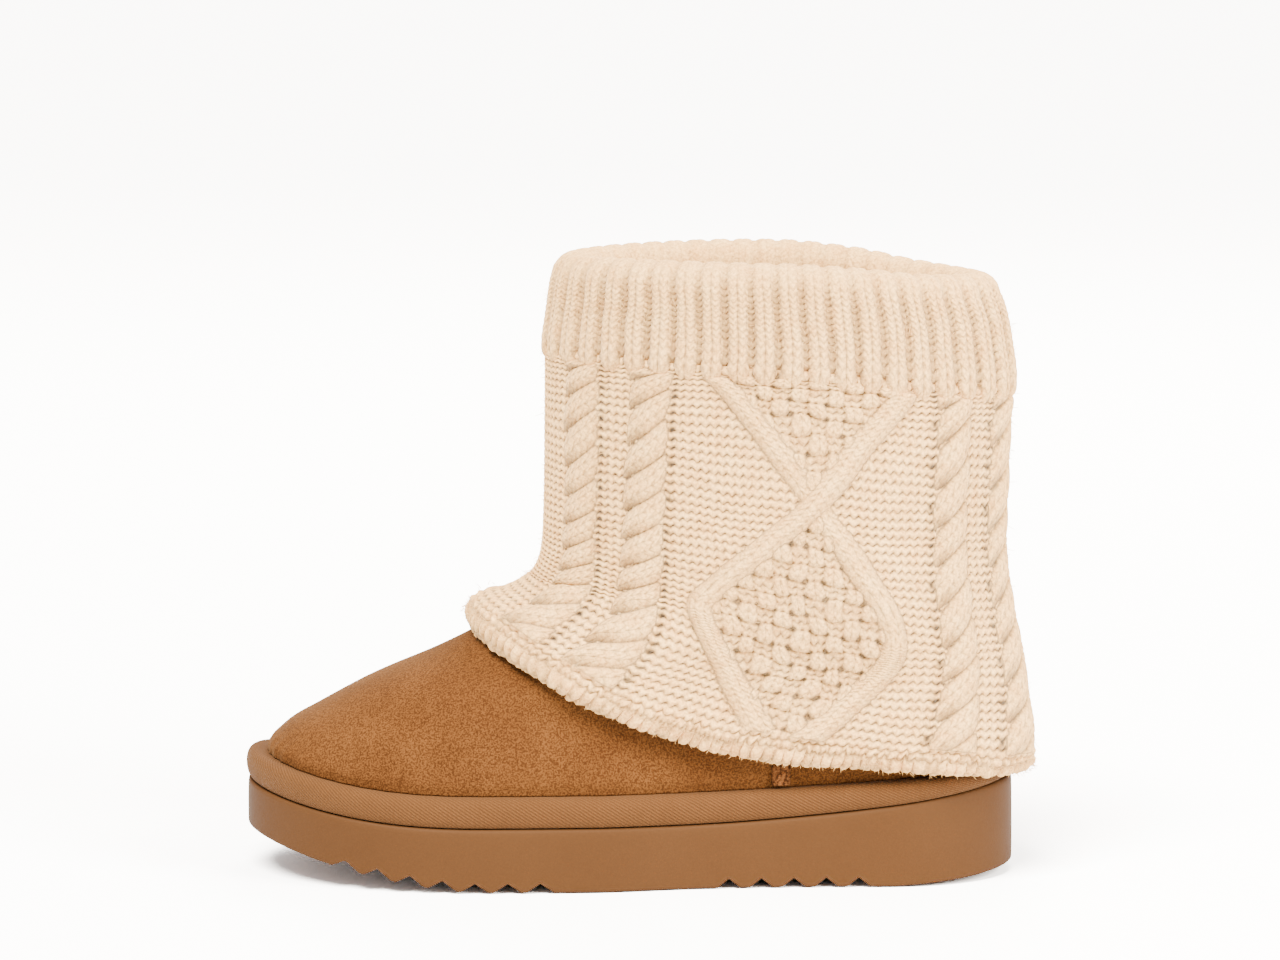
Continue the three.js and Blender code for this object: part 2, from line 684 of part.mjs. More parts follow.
const boot = new THREE.Group();
boot.name = "boot";
boot.add(
  part("outsole", outsoleBody(), finishes.foam),
  part("midsole", midsoleBody(), finishes.wrap),
  part("insole", insoleBody(), finishes.plush),
  part("upper", upperBody(), finishes.suede),
  part("side_seam_outer", sideSeamBody(-1), finishes.suede),
  part("side_seam_inner", sideSeamBody(1), finishes.suede),
  part("knit_cuff", cuffBody(), finishes.knit),
);

// The origin lies under the middle of the whole boot, on the floor
const extent = new THREE.Box3().setFromObject(boot, true);
const middle = extent.getCenter(new THREE.Vector3());
boot.position.set(-middle.x, -middle.y, -extent.min.z);

export default boot;
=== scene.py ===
# %% [markdown]
# A warm ankle boot, as a lesson in surfaces. The boot is a suede upper on a platform wrapped in
# textile tape, over a moulded foam outsole, with a cream knitted cuff hooked over its collar.
# It could be sculpted by hand, but a shoe is built from patterns and a last, which are curves with
# sizes. So everything here is a surface of two parameters, worked out with numpy as whole arrays. The
# named sizes and short tables are the solid model's own, so each skin lies where its solid is.

import bpy
import numpy as np
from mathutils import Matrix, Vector


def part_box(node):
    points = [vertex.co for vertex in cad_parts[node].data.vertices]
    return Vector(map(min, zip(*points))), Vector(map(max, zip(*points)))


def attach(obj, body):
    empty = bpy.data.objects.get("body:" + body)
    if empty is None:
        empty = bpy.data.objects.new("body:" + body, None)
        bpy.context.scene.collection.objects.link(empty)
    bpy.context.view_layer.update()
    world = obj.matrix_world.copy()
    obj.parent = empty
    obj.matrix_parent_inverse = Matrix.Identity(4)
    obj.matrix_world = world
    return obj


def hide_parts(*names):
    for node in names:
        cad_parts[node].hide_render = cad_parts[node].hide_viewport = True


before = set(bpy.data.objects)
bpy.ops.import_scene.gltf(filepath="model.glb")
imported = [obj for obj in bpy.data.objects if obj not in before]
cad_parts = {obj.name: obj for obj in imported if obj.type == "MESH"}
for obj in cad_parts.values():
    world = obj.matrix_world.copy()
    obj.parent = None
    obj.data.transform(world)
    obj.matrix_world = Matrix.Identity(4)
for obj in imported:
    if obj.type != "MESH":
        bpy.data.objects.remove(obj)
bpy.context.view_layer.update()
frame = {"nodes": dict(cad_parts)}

MM = 0.001
PI = np.pi
print("solids:", ", ".join(frame["nodes"]))

# %% [markdown]
# The sizes below are the boot's own, in millimetres. A table gives a curve's shape in a few rows,
# and a monotone cubic runs through them: it never swings past a row, so a wall drawn by it keeps
# clear of its neighbour.

# %% Named sizes
SOLE_LENGTH = 270.0
BALL_WIDTH, WAIST_WIDTH, HEEL_WIDTH = 104.0, 84.0, 80.0
TOE_TIP_SHIFT = 6.0
OUTSOLE_HEIGHT, BAND_HEIGHT = 22.0, 10.8
TOE_SPRING, HEEL_BEVEL = 15.5, 3.5
OUTSOLE_TOE_RISE, OUTSOLE_HEEL_RISE = 9.6, 12.4
BAND_TOE_RISE, BAND_HEEL_RISE = 9.7, 7.6
LUG_PITCH, LUG_DEPTH, LUG_NOTCH = 11.3, 2.8, 8.4
FRONT_LUGS, REAR_LUGS = 7, 5
ANKLE_HEIGHT, COLLAR_FRONT, COLLAR_BACK = 120.0, 210.5, 203.0
SHAFT_WIDTH, UPPER_WALL, SETBACK = 85.0, 3.0, 4.5
KNIT_THICK, COLLAR_ROLL, TURNED_IN = 4.2, 7.5, 24.0
CUFF_STAND_OFF = 4.0
HEM_LIP = 0.03  # the hem's round lip, as a share of the way from the hem to the rib
GAP = 0.3
# Places along the sole, as shares of its length from the toe's tip.
BALL, FRONT_LUG, REAR_LUG, BEVEL, HEEL_RISE, SEAM = 0.307, 0.135, 0.628, 0.833, 0.556, 0.695
print("sole", SOLE_LENGTH, "by", BALL_WIDTH, "mm, collar", COLLAR_FRONT, "mm high in front")


def through(xs, ys):
    """Monotone cubic through points: its slope at a row is the harmonic mean of its neighbours'."""
    xs, ys = np.asarray(xs, float), np.asarray(ys, float)
    rise = np.diff(ys) / np.diff(xs)
    slope = np.zeros_like(xs)
    both = rise[:-1] * rise[1:]
    total = np.where(both > 0, rise[:-1] + rise[1:], 1.0)
    slope[1:-1] = np.where(both > 0, 2 * both / total, 0.0)
    slope[0], slope[-1] = rise[0], rise[-1]

    def curve(x):
        """Between two rows, a smooth step from one to the other, bent to leave at both slopes."""
        x = np.clip(x, xs[0], xs[-1])
        i = np.clip(np.searchsorted(xs, x, side="right") - 1, 0, len(xs) - 2)
        h = xs[i + 1] - xs[i]
        t = (x - xs[i]) / h
        bump = h * (slope[i] * (t**3 - 2 * t**2 + t) + slope[i + 1] * (t**3 - t**2))
        return ys[i] + (ys[i + 1] - ys[i]) * (3 * t**2 - 2 * t**3) + bump

    return curve


def columns(rows):
    """A table's first column is the way along it. Each other column becomes a curve."""
    rows = np.asarray(rows, float)
    return [through(rows[:, 0], rows[:, k]) for k in range(1, rows.shape[1])]


def mix(a, b, t):
    """a and a share t of the way to b."""
    return a + (b - a) * t


def smooth(t):
    """0 below 0, 1 above 1, and an even S between them."""
    t = np.clip(t, 0.0, 1.0)
    return t * t * (3 - 2 * t)


def end_round(distance, reach, power):
    """How far a rounded end has opened: 0 at its tip, 1 past its reach. It is a quarter of a
    superellipse, an ellipse whose squares are made a higher power."""
    left = 1 - np.clip(distance / reach, 0, 1)
    return (1 - left**power) ** (1 / power)


# %% [markdown]
# The sole's outline. A real one is drawn round a last. A closed spline would do, but then nothing
# would say where the ball or the heel is. Here it is a half-width along the length, closed by a
# rounded toe and heel. A place round the boot is an angle: 0 at the toe, a quarter turn at the outer
# side, a half turn at the heel. Every ring of the boot uses the same angle, which is what lets the
# pieces follow one another.

# %% The sole's outline and heights
plan_outer, plan_inner = columns([
    # share of length, outer half-width, inner half-width
    (0.00, 0.46 * BALL_WIDTH, 0.480 * BALL_WIDTH),
    (0.15, 0.49 * BALL_WIDTH, 0.500 * BALL_WIDTH),
    (0.30, 0.505 * BALL_WIDTH, 0.495 * BALL_WIDTH),
    (0.45, 0.49 * BALL_WIDTH, 0.450 * BALL_WIDTH),
    (0.60, 0.52 * WAIST_WIDTH, 0.480 * WAIST_WIDTH),
    (0.75, 0.51 * HEEL_WIDTH, 0.490 * HEEL_WIDTH),
    (0.90, 0.50 * HEEL_WIDTH, 0.500 * HEEL_WIDTH),
])


def share_at(x):
    """The share of the sole's length at x: 0 at the toe's tip and 1 at the heel's end."""
    return np.clip(x / SOLE_LENGTH + 0.5, 0, 1)


def x_at(share):
    """The place along the boot of a share, measured from the sole's middle."""
    return (share - 0.5) * SOLE_LENGTH


def along_of(angle):
    """How far along a ring an angle is: half of one less its cosine, so 0 in front and 1 behind."""
    return (1 - np.cos(angle)) / 2


def side_of(angle):
    """-1 on the outer side and 1 on the inner side, from the sign of the angle's sine."""
    return np.where(np.sin(angle) >= 0, -1.0, 1.0)


def plan_half(share, side):
    """The half-width at a share, from the table's column for that side."""
    return np.where(side < 0, plan_outer(share), plan_inner(share))


def plan_centre(share):
    """How far the middle line swings to the big toe: all of it at the tip, none from the ball on."""
    return TOE_TIP_SHIFT * (1 - np.clip(share / BALL, 0, 1)) ** 1.5


def toe_way(share):
    """0 at the ball and behind it, and rising evenly to 1 at the toe's tip."""
    return np.clip(1 - share / BALL, 0, 1)


def heel_way(share):
    """0 in front of the place where the heel rises, and rising evenly to 1 at its end."""
    return np.clip((share - HEEL_RISE) / (1 - HEEL_RISE), 0, 1)


def ground_z(share):
    """The sole's underside: a power of the way to the toe, and a power of the way up the heel bevel."""
    bevel = np.clip((share - BEVEL) / (1 - BEVEL), 0, 1)
    return TOE_SPRING * toe_way(share) ** 1.45 + HEEL_BEVEL * bevel**1.5


def outsole_top(share):
    """The foam's upper edge: one height, plus a power curve to the toe and one to the heel."""
    rise = OUTSOLE_TOE_RISE * toe_way(share) ** 2.1
    return OUTSOLE_HEIGHT + rise + OUTSOLE_HEEL_RISE * heel_way(share) ** 1.65


def band_top(share):
    """The platform's upper edge, made like the foam's with the band's own height and rises."""
    rise = BAND_TOE_RISE * toe_way(share) ** 2.25
    return OUTSOLE_HEIGHT + BAND_HEIGHT + rise + BAND_HEEL_RISE * heel_way(share) ** 1.5


TOE_ROUND, HEEL_ROUND = (0.245, 2.2), (0.17, 2.15)  # the reach as a share of the length, the power


def sole_point(angle):
    """The outline at an angle: the half-width there, times how far the toe and heel have opened."""
    share, side = along_of(angle), side_of(angle)
    opened = end_round(share, *TOE_ROUND) * end_round(1 - share, *HEEL_ROUND)
    return np.stack([x_at(share), plan_centre(share) + side * plan_half(share, side) * opened], -1)


def sole_outline(angle, inset):
    """The outline moved inwards along its own normal, a quarter turn from its run."""
    run = sole_point(angle + 0.02) - sole_point(angle - 0.02)
    run /= np.linalg.norm(run, axis=-1, keepdims=True)
    point = sole_point(angle)
    return point[..., 0] - run[..., 1] * inset, point[..., 1] + run[..., 0] * inset


SHIFT = np.zeros(3)
outline = sole_point(np.linspace(0, 2 * PI, 4001))
low, high = (np.array(corner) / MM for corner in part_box("outsole"))
SHIFT[0] = (low[0] + high[0]) / 2
SHIFT[1] = (low[1] + high[1] - outline[:, 1].min() - outline[:, 1].max()) / 2
print("the solids lie", SHIFT.round(2), "mm from the sole's own middle")

# %% [markdown]
# The upper is suede pulled over a last. It could be modelled from a box with subdivision, but then
# its sections would be guesses. It is one surface of angle and rise. The rise is 0 at the platform,
# 1 at the ankle and 2 at the collar. Tables say where each ring begins at the front, ends at the
# back, and how round it is.

# %% The upper's surface
(front_back,) = columns([
    (0.0, 0.0245), (0.032, 0.0274), (0.102, 0.0433), (0.157, 0.0589), (0.235, 0.0904),
    (0.307, 0.1219), (0.371, 0.1533), (0.424, 0.1848), (0.512, 0.2474), (0.579, 0.2919),
    (0.672, 0.3481), (0.713, 0.3704), (0.764, 0.3926), (0.833, 0.4056), (0.908, 0.413),
    (1.0, 0.4167), (1.3, 0.4185), (1.7, 0.4195), (2.0, 0.4285),
])
(back_before,) = columns([
    (0.0, 0.0205), (0.15, 0.015), (0.35, 0.015), (0.6, 0.024), (0.85, 0.033), (1.0, 0.035),
    (1.25, 0.033), (1.65, 0.029), (1.85, 0.036), (2.0, 0.048),
])
toe_reach, toe_power, heel_reach, heel_power, lean_share, shaft_share = columns([
    # rise, toe reach, toe power, heel reach, heel power, width lost by leaning in, share of the shaft's oval
    (0.00, 0.25, 2.25, 0.17, 2.2, 0.0, 0.0),
    (0.15, 0.25, 2.25, 0.18, 2.2, 0.01, 0.06),
    (0.35, 0.3, 2.15, 0.2, 2.15, 0.06, 0.2),
    (0.55, 0.41, 2.0, 0.26, 2.1, 0.12, 0.5),
    (0.80, 0.49, 1.95, 0.4, 2.05, 0.12, 0.85),
    (1.00, 0.5, 2.0, 0.5, 2.0, 0.1, 1.0),
])
(collar_fall,) = columns([(0, 0.04), (0.15, 0), (0.5, 0.02), (0.7, 0.27), (0.84, 0.68), (1, 1)])


def front_x(rise):
    """Where a ring begins at the front, from its table."""
    return x_at(front_back(rise))


def back_x(rise):
    """Where a ring ends at the back, which its table counts from the heel's end."""
    return x_at(1 - back_before(rise))


def upper_z(x, rise):
    """Height in proportion to the rise: platform to ankle, then ankle to the collar's own slope."""
    base = band_top(share_at(x)) + GAP
    across = np.clip((x - front_x(2.0)) / (back_x(2.0) - front_x(2.0)), 0, 1)
    collar = mix(COLLAR_FRONT, COLLAR_BACK, collar_fall(across))
    return np.where(rise <= 1, mix(base, ANKLE_HEIGHT, rise), mix(ANKLE_HEIGHT, collar, rise - 1))


def upper_point(angle, rise):
    """The upper at an angle and rise. The half-width goes from the sole's plan to the shaft's oval,
    and the ring closes with the rounded ends that its table gives."""
    along, side = along_of(angle), side_of(angle)
    front, back = front_x(rise), back_x(rise)
    x = front + along * (back - front)
    share, shaft = share_at(x), shaft_share(rise)
    foot_half = (plan_half(share, side) - SETBACK) * (1 - lean_share(rise))
    half = mix(foot_half, SHAFT_WIDTH / 2, shaft)
    opened = end_round(along, toe_reach(rise), toe_power(rise))
    opened = opened * end_round(1 - along, heel_reach(rise), heel_power(rise))
    y = plan_centre(share) * (1 - shaft) + side * half * opened
    return np.stack([x, y, upper_z(x, rise)], -1)


def unit(v):
    """Vectors divided by their own lengths."""
    return v / np.maximum(np.linalg.norm(v, axis=-1, keepdims=True), 1e-9)


def off_upper(angle, rise, distance):
    """A point off the upper along its normal, which lies level at both of its edges. The normal is
    square to two short steps on the surface, one round it and one up it."""
    low_rise = np.clip(rise, 0.015, 1.985)
    across = upper_point(angle + 0.05, low_rise) - upper_point(angle - 0.05, low_rise)
    up = upper_point(angle, low_rise + 0.015) - upper_point(angle, low_rise - 0.015)
    normal = unit(np.cross(across, up))
    edge = np.maximum(np.clip((rise - 1.9) / 0.1, 0, 1), np.clip((0.04 - rise) / 0.04, 0, 1))
    normal[..., 2] *= 1 - edge
    return upper_point(angle, rise) + unit(normal) * np.asarray(distance)[..., None]


round_collar = upper_point(np.linspace(0, 2 * PI, 361), np.full(361, 2.0))
print("collar opening", np.ptp(round_collar[:, 0]).round(1), "by", np.ptp(round_collar[:, 1]).round(1), "mm")

# %% [markdown]
# The knitted cuff hangs outside the upper. Cloth simulation could drape a tube over it, but the
# stitches would no longer be counted from the surface. So the cuff is worked from the upper: each
# place on it lies a stand-off away from the upper under it. Its row is 0 at the hem, 1 where the rib
# begins and 2 at the collar.

# %% The cuff's surface
front_rise, back_rise, level_of, front_off, side_off, back_off = columns([
    # row, front rise, back rise, level share, and the stand-off's shares at the front, side and back
    (0.00, 0.587, -0.057, 0.0, 0.3, 0.85, 2.15),
    (0.05, 0.622, 0.03, 0.1, 0.65, 0.9, 2.15),
    (0.10, 0.66, 0.11, 0.25, 0.9, 0.95, 1.95),
    (0.20, 0.745, 0.28, 0.5, 0.9, 1.0, 1.35),
    (0.30, 0.85, 0.45, 0.7, 0.85, 1.0, 1.0),
    (0.44, 1.0, 0.69, 0.9, 0.9, 0.9, 0.75),
    (0.62, 1.22, 1.0, 1.0, 0.9, 0.8, 0.65),
    (1.00, 1.7, 1.6, 1.0, 0.85, 0.8, 0.7),
    (2.00, 2.0, 2.0, 1.0, 0.7, 0.7, 0.65),
])
(hem_drop,) = columns([
    (0.0, 0.0), (0.067, 0.116), (0.149, 0.252), (0.25, 0.411), (0.338, 0.532), (0.469, 0.657),
    (0.589, 0.745), (0.711, 0.794), (0.812, 0.843), (0.96, 0.955), (1.0, 1.0),
])
(nose_extra,) = columns([(0.0, 0.62), (0.07, 0.86), (0.11, 0.21), (0.15, 0.0)])


def under_cuff(angle, row):
    """The upper's angle and rise under a place on the cuff: columns hang straight down."""
    along = along_of(angle)
    dropped = mix(hem_drop(along), along, level_of(row))
    rise = mix(front_rise(row), back_rise(row), dropped)
    x = mix(front_x(front_rise(row)), back_x(back_rise(row)), along)
    on_ring = np.clip((x - front_x(rise)) / (back_x(rise) - front_x(rise)), 0, 1)
    outer = np.arccos(1 - 2 * on_ring)
    return np.where(side_of(angle) < 0, outer, 2 * PI - outer), rise


def cuff_point(angle, row, thickness):
    """The upper's place under the cuff, moved out by the stand-off and a thickness. The stand-off is
    mixed from the front's, side's and back's, and over the toe the hem stands a little further out."""
    along = along_of(angle)
    under_angle, rise = under_cuff(angle, row)
    ends = mix(front_off(row), back_off(row), along)
    off = mix(ends, side_off(row), np.sin(angle) ** 2) * CUFF_STAND_OFF
    nose = nose_extra(row) * (1 - along) ** 6 * thickness
    return off_upper(under_angle, rise, off + thickness + nose)


def over_collar(angle, turn, thickness):
    """Half a ring over the upper's edge, from its outer side at turn 0 to its inner side at pi."""
    under, _ = under_cuff(angle, np.full_like(angle, 2.0))
    top = np.full_like(angle, 2.0)
    outside = cuff_point(angle, top, thickness)
    inside = off_upper(under, top, -UPPER_WALL - 2 * GAP - thickness)
    point = (outside + inside) / 2 + (outside - inside) / 2 * np.cos(turn)[..., None]
    point[..., 2] += np.sin(turn) * (COLLAR_ROLL - KNIT_THICK + thickness)
    return point


def turned_in(angle, depth, thickness):
    """The leg inside the collar, a depth under its edge. The rise falls by the depth over the height
    from the ankle to the collar."""
    under, _ = under_cuff(angle, np.full_like(angle, 2.0))
    shaft = upper_point(under, np.full_like(angle, 2.0))[..., 2] - ANKLE_HEIGHT
    return off_upper(under, 2 - depth / shaft, -UPPER_WALL - 2 * GAP - thickness)


hem_ends = cuff_point(np.array([0.0, PI]), np.zeros(2), np.zeros(2))[:, 2]
print("the hem hangs", hem_ends[0].round(1), "mm high in front and", hem_ends[1].round(1), "mm behind")

# %% [markdown]
# Knitting is counted, not measured: the cuff has 132 stitches round and 44 rows under its rib, whose
# own rows go on up to the collar. Equal angles would make the stitches wide at the sides and narrow
# at the toe. So one curve turns a count of stitches into an angle by the length walked round the rim.

# %% Stitches to angles
AROUND, BODY_ROWS, RIB_ROWS = 132, 44, 12.4
HEM_ROW = 42.0  # where the hem's knobs begin, in rows down from the rib
STITCH, ROW = 3.17, 3.07  # millimetres
steps = np.linspace(0, PI, 181)
rim = cuff_point(steps, np.ones_like(steps), 0 * steps)
walked = np.concatenate([[0], np.cumsum(np.linalg.norm(np.diff(rim, axis=0), axis=1))])
half_turn = through(walked / walked[-1] * AROUND / 2, steps)


def stitch_angle(c):
    """The angle of a count of stitches: the curve on the outer side, and its mirror on the inner."""
    c = np.mod(c, AROUND)
    return np.where(c <= AROUND / 2, half_turn(c), 2 * PI - half_turn(AROUND - c))


print("half round the cuff:", round(walked[-1], 1), "mm,", round(walked[-1] / (AROUND / 2), 2), "mm a stitch")

# %% [markdown]
# Meshes. Blender could join points one by one, but it takes a mesh fastest as flat arrays. A grid of
# points becomes quads by index arithmetic, and a wall that is open at its ends gets one many-sided
# lid at each, so that every piece is closed.

# %% Grids into meshes


def grid_quads(rows, cols, wrap_rows=False, wrap_cols=False, downward=False):
    """Quads of a grid, facing out where columns run to the right and rows run up (or down)."""
    r = np.arange(rows if wrap_rows else rows - 1)[:, None]
    c = np.arange(cols if wrap_cols else cols - 1)[None, :]
    r1, c1 = (r + 1) % rows, (c + 1) % cols
    corners = [r * cols + c, r * cols + c1, r1 * cols + c1, r1 * cols + c]
    if downward:
        corners = corners[::-1]
    return np.stack(np.broadcast_arrays(*corners), -1).reshape(-1, 4)


def make_piece(name, points, quads, lids=(), uv=None, around=None, fields=None, slots=None):
    """A mesh object from points in millimetres. Fields are per point. A uv may wrap round a ring."""
    points = (np.asarray(points, float).reshape(-1, 3) + SHIFT) * MM
    corners = np.concatenate([np.asarray(quads).ravel(), *[np.asarray(lid) for lid in lids]])
    sizes = np.array([4] * len(quads) + [len(lid) for lid in lids])
    mesh = bpy.data.meshes.new(name)
    mesh.vertices.add(len(points))
    mesh.vertices.foreach_set("co", points.ravel())
    mesh.loops.add(len(corners))
    mesh.loops.foreach_set("vertex_index", corners.astype(np.int32))
    mesh.polygons.add(len(sizes))
    mesh.polygons.foreach_set("loop_start", (np.cumsum(sizes) - sizes).astype(np.int32))
    mesh.update(calc_edges=True)
    mesh.polygons.foreach_set("use_smooth", np.ones(len(sizes), bool))
    if slots is not None:
        mesh.polygons.foreach_set("material_index", np.asarray(slots, np.int32))
    if uv is not None:
        flat = np.asarray(uv, float).reshape(-1, 2)[corners]
        if around is not None:
            u = flat[: 4 * len(quads), 0].reshape(-1, 4)
            u += around * ((u.max(1, keepdims=True) - u) > around / 2)
        mesh.uv_layers.new(name="flat").data.foreach_set("uv", flat.ravel())
    for field, values in (fields or {}).items():
        data = mesh.attributes.new(field, "FLOAT", "POINT").data
        data.foreach_set("value", np.asarray(values, float).ravel())
    piece = bpy.data.objects.new(name, mesh)
    bpy.context.scene.collection.objects.link(piece)
    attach(piece, "root")
    faces = int((sizes - 2).sum())
    print(f"{name}: {len(points)} points, {faces} triangles")
    return piece


def mirror_angles(alongs):
    """Angles for stations along the sole, out along the outer side and back along the inner."""
    outer = np.arccos(1 - 2 * np.asarray(alongs))
    return np.concatenate([outer, (2 * PI - outer[1:-1])[::-1]])


def lid_quads(start, count, facing_up):
    """Rungs across a ring, from its outer side to its inner side."""
    k = np.arange(count // 2)
    inner = (count - k) % count
    rungs = np.stack([k, k + 1, (count - k - 1) % count, inner], -1) + start
    tips = [rungs[0][[0, 1, 2]], rungs[-1][[0, 1, 3]]]
    rungs = rungs[1:-1]
    if facing_up:
        return rungs, tips
    return rungs[:, ::-1], [tip[::-1] for tip in tips]


# %% [markdown]
# Soft things are never even. A noise texture could shake the finished mesh, but it wouldn't know the
# stitches. This wobble is a sum of a few sines with fixed odd phases: it is the same each time, and
# needs no random numbers. Several pieces use it at their own scales.

# %% Wobble


def wobble(a, b, seed=0.0):
    """A gentle field of two directions, between about -1 and 1: four sines whose directions share no
    common measure, added up and divided by three."""
    total = 0
    waves = [(1.0, 0.7, 0.3), (-0.6, 1.3, 2.1), (1.7, -1.1, 4.0), (0.4, 2.3, 5.2)]
    for k, (along_a, along_b, phase) in enumerate(waves):
        total = total + np.sin(along_a * a + along_b * b + phase + seed * (k + 1.3))
    return total / 3.0


def frac(x):
    """What is left of x over its whole part."""
    return x - np.floor(x)


def chance(a, b, seed=0.0):
    """A number between 0 and 1 for each pair of whole numbers, the same each time: the far decimals
    of a sine that is made very large."""
    return frac(np.sin(a * 12.9898 + b * 78.233 + seed) * 43758.5453)


drawn = chance(*np.meshgrid(np.arange(AROUND), np.arange(BODY_ROWS)))
print("chance over the cuff's stitches: mean", drawn.mean().round(3), "spread", drawn.std().round(3))


# %% [markdown]
# Materials. Image textures would need unwrapping and would blur close up, so each finish is worked
# out by nodes. Three effects are used by more than one finish, and each is a node group with named
# inputs: a mottle that shifts a colour a little from place to place, a fine grain that gives a
# bump its height, and a painted hollow shade that darkens the colour where the yarns or ribs lie deep.

# %% Node helpers


def node(tree, kind, links=None, **settings):
    """A node with its settings, and its inputs given as values or as another node's output."""
    made = tree.nodes.new(kind)
    for key, value in settings.items():
        setattr(made, key, value)
    for key, value in (links or {}).items():
        if isinstance(value, bpy.types.NodeSocket):
            tree.links.new(value, made.inputs[key])
        else:
            made.inputs[key].default_value = value
    return made


def group(name, inputs, output):
    """An empty node group with its sockets. Each input is a name, a socket type and a value."""
    tree = bpy.data.node_groups.new(name, "ShaderNodeTree")
    for label, kind, value in inputs:
        socket = tree.interface.new_socket(label, in_out="INPUT", socket_type=kind)
        socket.default_value = value
    tree.interface.new_socket(output[0], in_out="OUTPUT", socket_type=output[1])
    entry = tree.nodes.new("NodeGroupInput").outputs
    return tree, entry, tree.nodes.new("NodeGroupOutput")


def blend_colour(tree, a, b, factor, way="MIX"):
    """A colour a share of the way from a to b, or multiplied by b to that share."""
    made = node(tree, "ShaderNodeMix", data_type="RGBA", blend_type=way)
    for index, value in ((0, factor), (6, a), (7, b)):
        if isinstance(value, bpy.types.NodeSocket):
            tree.links.new(value, made.inputs[index])
        else:
            made.inputs[index].default_value = value
    return made.outputs[2]


def maths(tree, way, a, b=0.0, clamp=False):
    """One sum of two values or sockets, as a socket. Clamp keeps it between 0 and 1."""
    made = node(tree, "ShaderNodeMath", {0: a, 1: b}, operation=way)
    made.use_clamp = clamp
    return made.outputs[0]


# %% The mottle, grain and hollow groups
COLOUR, VALUE, PLACE = "NodeSocketColor", "NodeSocketFloat", "NodeSocketVector"

mottle, given, result = group(
    "mottle",
    [("Place", PLACE, (0, 0, 0)), ("Light", COLOUR, (1, 1, 1, 1)), ("Dark", COLOUR, (0, 0, 0, 1)),
     ("Scale", VALUE, 60.0), ("Contrast", VALUE, 1.0)],
    ("Color", COLOUR),
)
cloud_in = {"Vector": given["Place"], "Scale": given["Scale"], "Detail": 5.0}
cloud = node(mottle, "ShaderNodeTexNoise", cloud_in)
even = maths(mottle, "SUBTRACT", cloud.outputs[0], 0.5)
spread = maths(mottle, "MULTIPLY", even, given["Contrast"])
share = maths(mottle, "ADD", spread, 0.5, clamp=True)
mottle.links.new(blend_colour(mottle, given["Dark"], given["Light"], share), result.inputs[0])

grain, given, result = group(
    "grain",
    [("Place", PLACE, (0, 0, 0)), ("Coarse", VALUE, 900.0), ("Fine", VALUE, 2600.0),
     ("Fine share", VALUE, 0.5)],
    ("Height", VALUE),
)
big = node(grain, "ShaderNodeTexNoise", {"Vector": given["Place"], "Scale": given["Coarse"], "Detail": 3.0})
small = node(grain, "ShaderNodeTexNoise", {"Vector": given["Place"], "Scale": given["Fine"], "Detail": 2.0})
part = maths(grain, "MULTIPLY", small.outputs[0], given["Fine share"])
grain.links.new(maths(grain, "ADD", big.outputs[0], part), result.inputs[0])

# Painted shade: the colour goes to a shade colour where the depth is low, as in hollows between yarns or
# ribs.
hollow, given, result = group(
    "painted hollow shade",
    [("Color", COLOUR, (1, 1, 1, 1)), ("Shade color", COLOUR, (0, 0, 0, 1)), ("Depth", VALUE, 1.0),
     ("Power", VALUE, 1.0)],
    ("Color", COLOUR),
)
unshaded = maths(hollow, "POWER", given["Depth"], given["Power"], clamp=True)
hollow.links.new(blend_colour(hollow, given["Shade color"], given["Color"], unshaded), result.inputs[0])
for made in (mottle, grain, hollow):
    sockets = [item.name for item in made.interface.items_tree if item.in_out == "INPUT"]
    print("group", made.name, "takes", ", ".join(sockets))


def placed(tree, the_group, links):
    """A group put into a tree with its inputs given. Its one output comes back."""
    return node(tree, "ShaderNodeGroup", links, node_tree=the_group).outputs[0]


def mottled(tree, place, light, dark, scale, contrast):
    """A colour between dark and light: noise less a half, times the contrast, plus a half."""
    return placed(tree, mottle, {"Place": place, "Light": (*light, 1), "Dark": (*dark, 1), "Scale": scale,
                                 "Contrast": contrast})


def grained(tree, place, coarse, fine, fine_share):
    """A bump's height: coarse noise plus a share of fine noise. Scales are counts in a metre."""
    return placed(tree, grain, {"Place": place, "Coarse": coarse, "Fine": fine, "Fine share": fine_share})


def hollow_shaded(tree, colour, deep, depth, power):
    """Painted shade: the shade colour where the depth is 0, going to the colour by a power of the depth."""
    return placed(tree, hollow, {"Color": colour, "Shade color": (*deep, 1), "Depth": depth, "Power": power})


# %% A finish and its bump


def finish(name, roughness, specular=0.3, sheen=0.0, sheen_roughness=0.5, sheen_tint=(1, 1, 1)):
    """A material whose constant values sit on the shader's own sockets. With it come its tree, its
    shader and the place on the object that its patterns read."""
    material = bpy.data.materials.new(name)
    material.use_nodes = True
    tree = material.node_tree
    shader = tree.nodes["Principled BSDF"]
    shader.inputs["Roughness"].default_value = roughness
    shader.inputs["Specular IOR Level"].default_value = specular
    shader.inputs["Sheen Weight"].default_value = sheen
    shader.inputs["Sheen Roughness"].default_value = sheen_roughness
    shader.inputs["Sheen Tint"].default_value = (*sheen_tint, 1)
    print(f"finish {name}: roughness {roughness}, specular {specular}, sheen {sheen}")
    return material, tree, shader, node(tree, "ShaderNodeTexCoord").outputs["Object"]


def bump(tree, shader, height, strength, distance):
    """A height turned into the shader's normal. The distance is what a height of 1 means, in metres."""
    made = node(tree, "ShaderNodeBump", {"Height": height, "Strength": strength, "Distance": distance})
    tree.links.new(made.outputs[0], shader.inputs["Normal"])
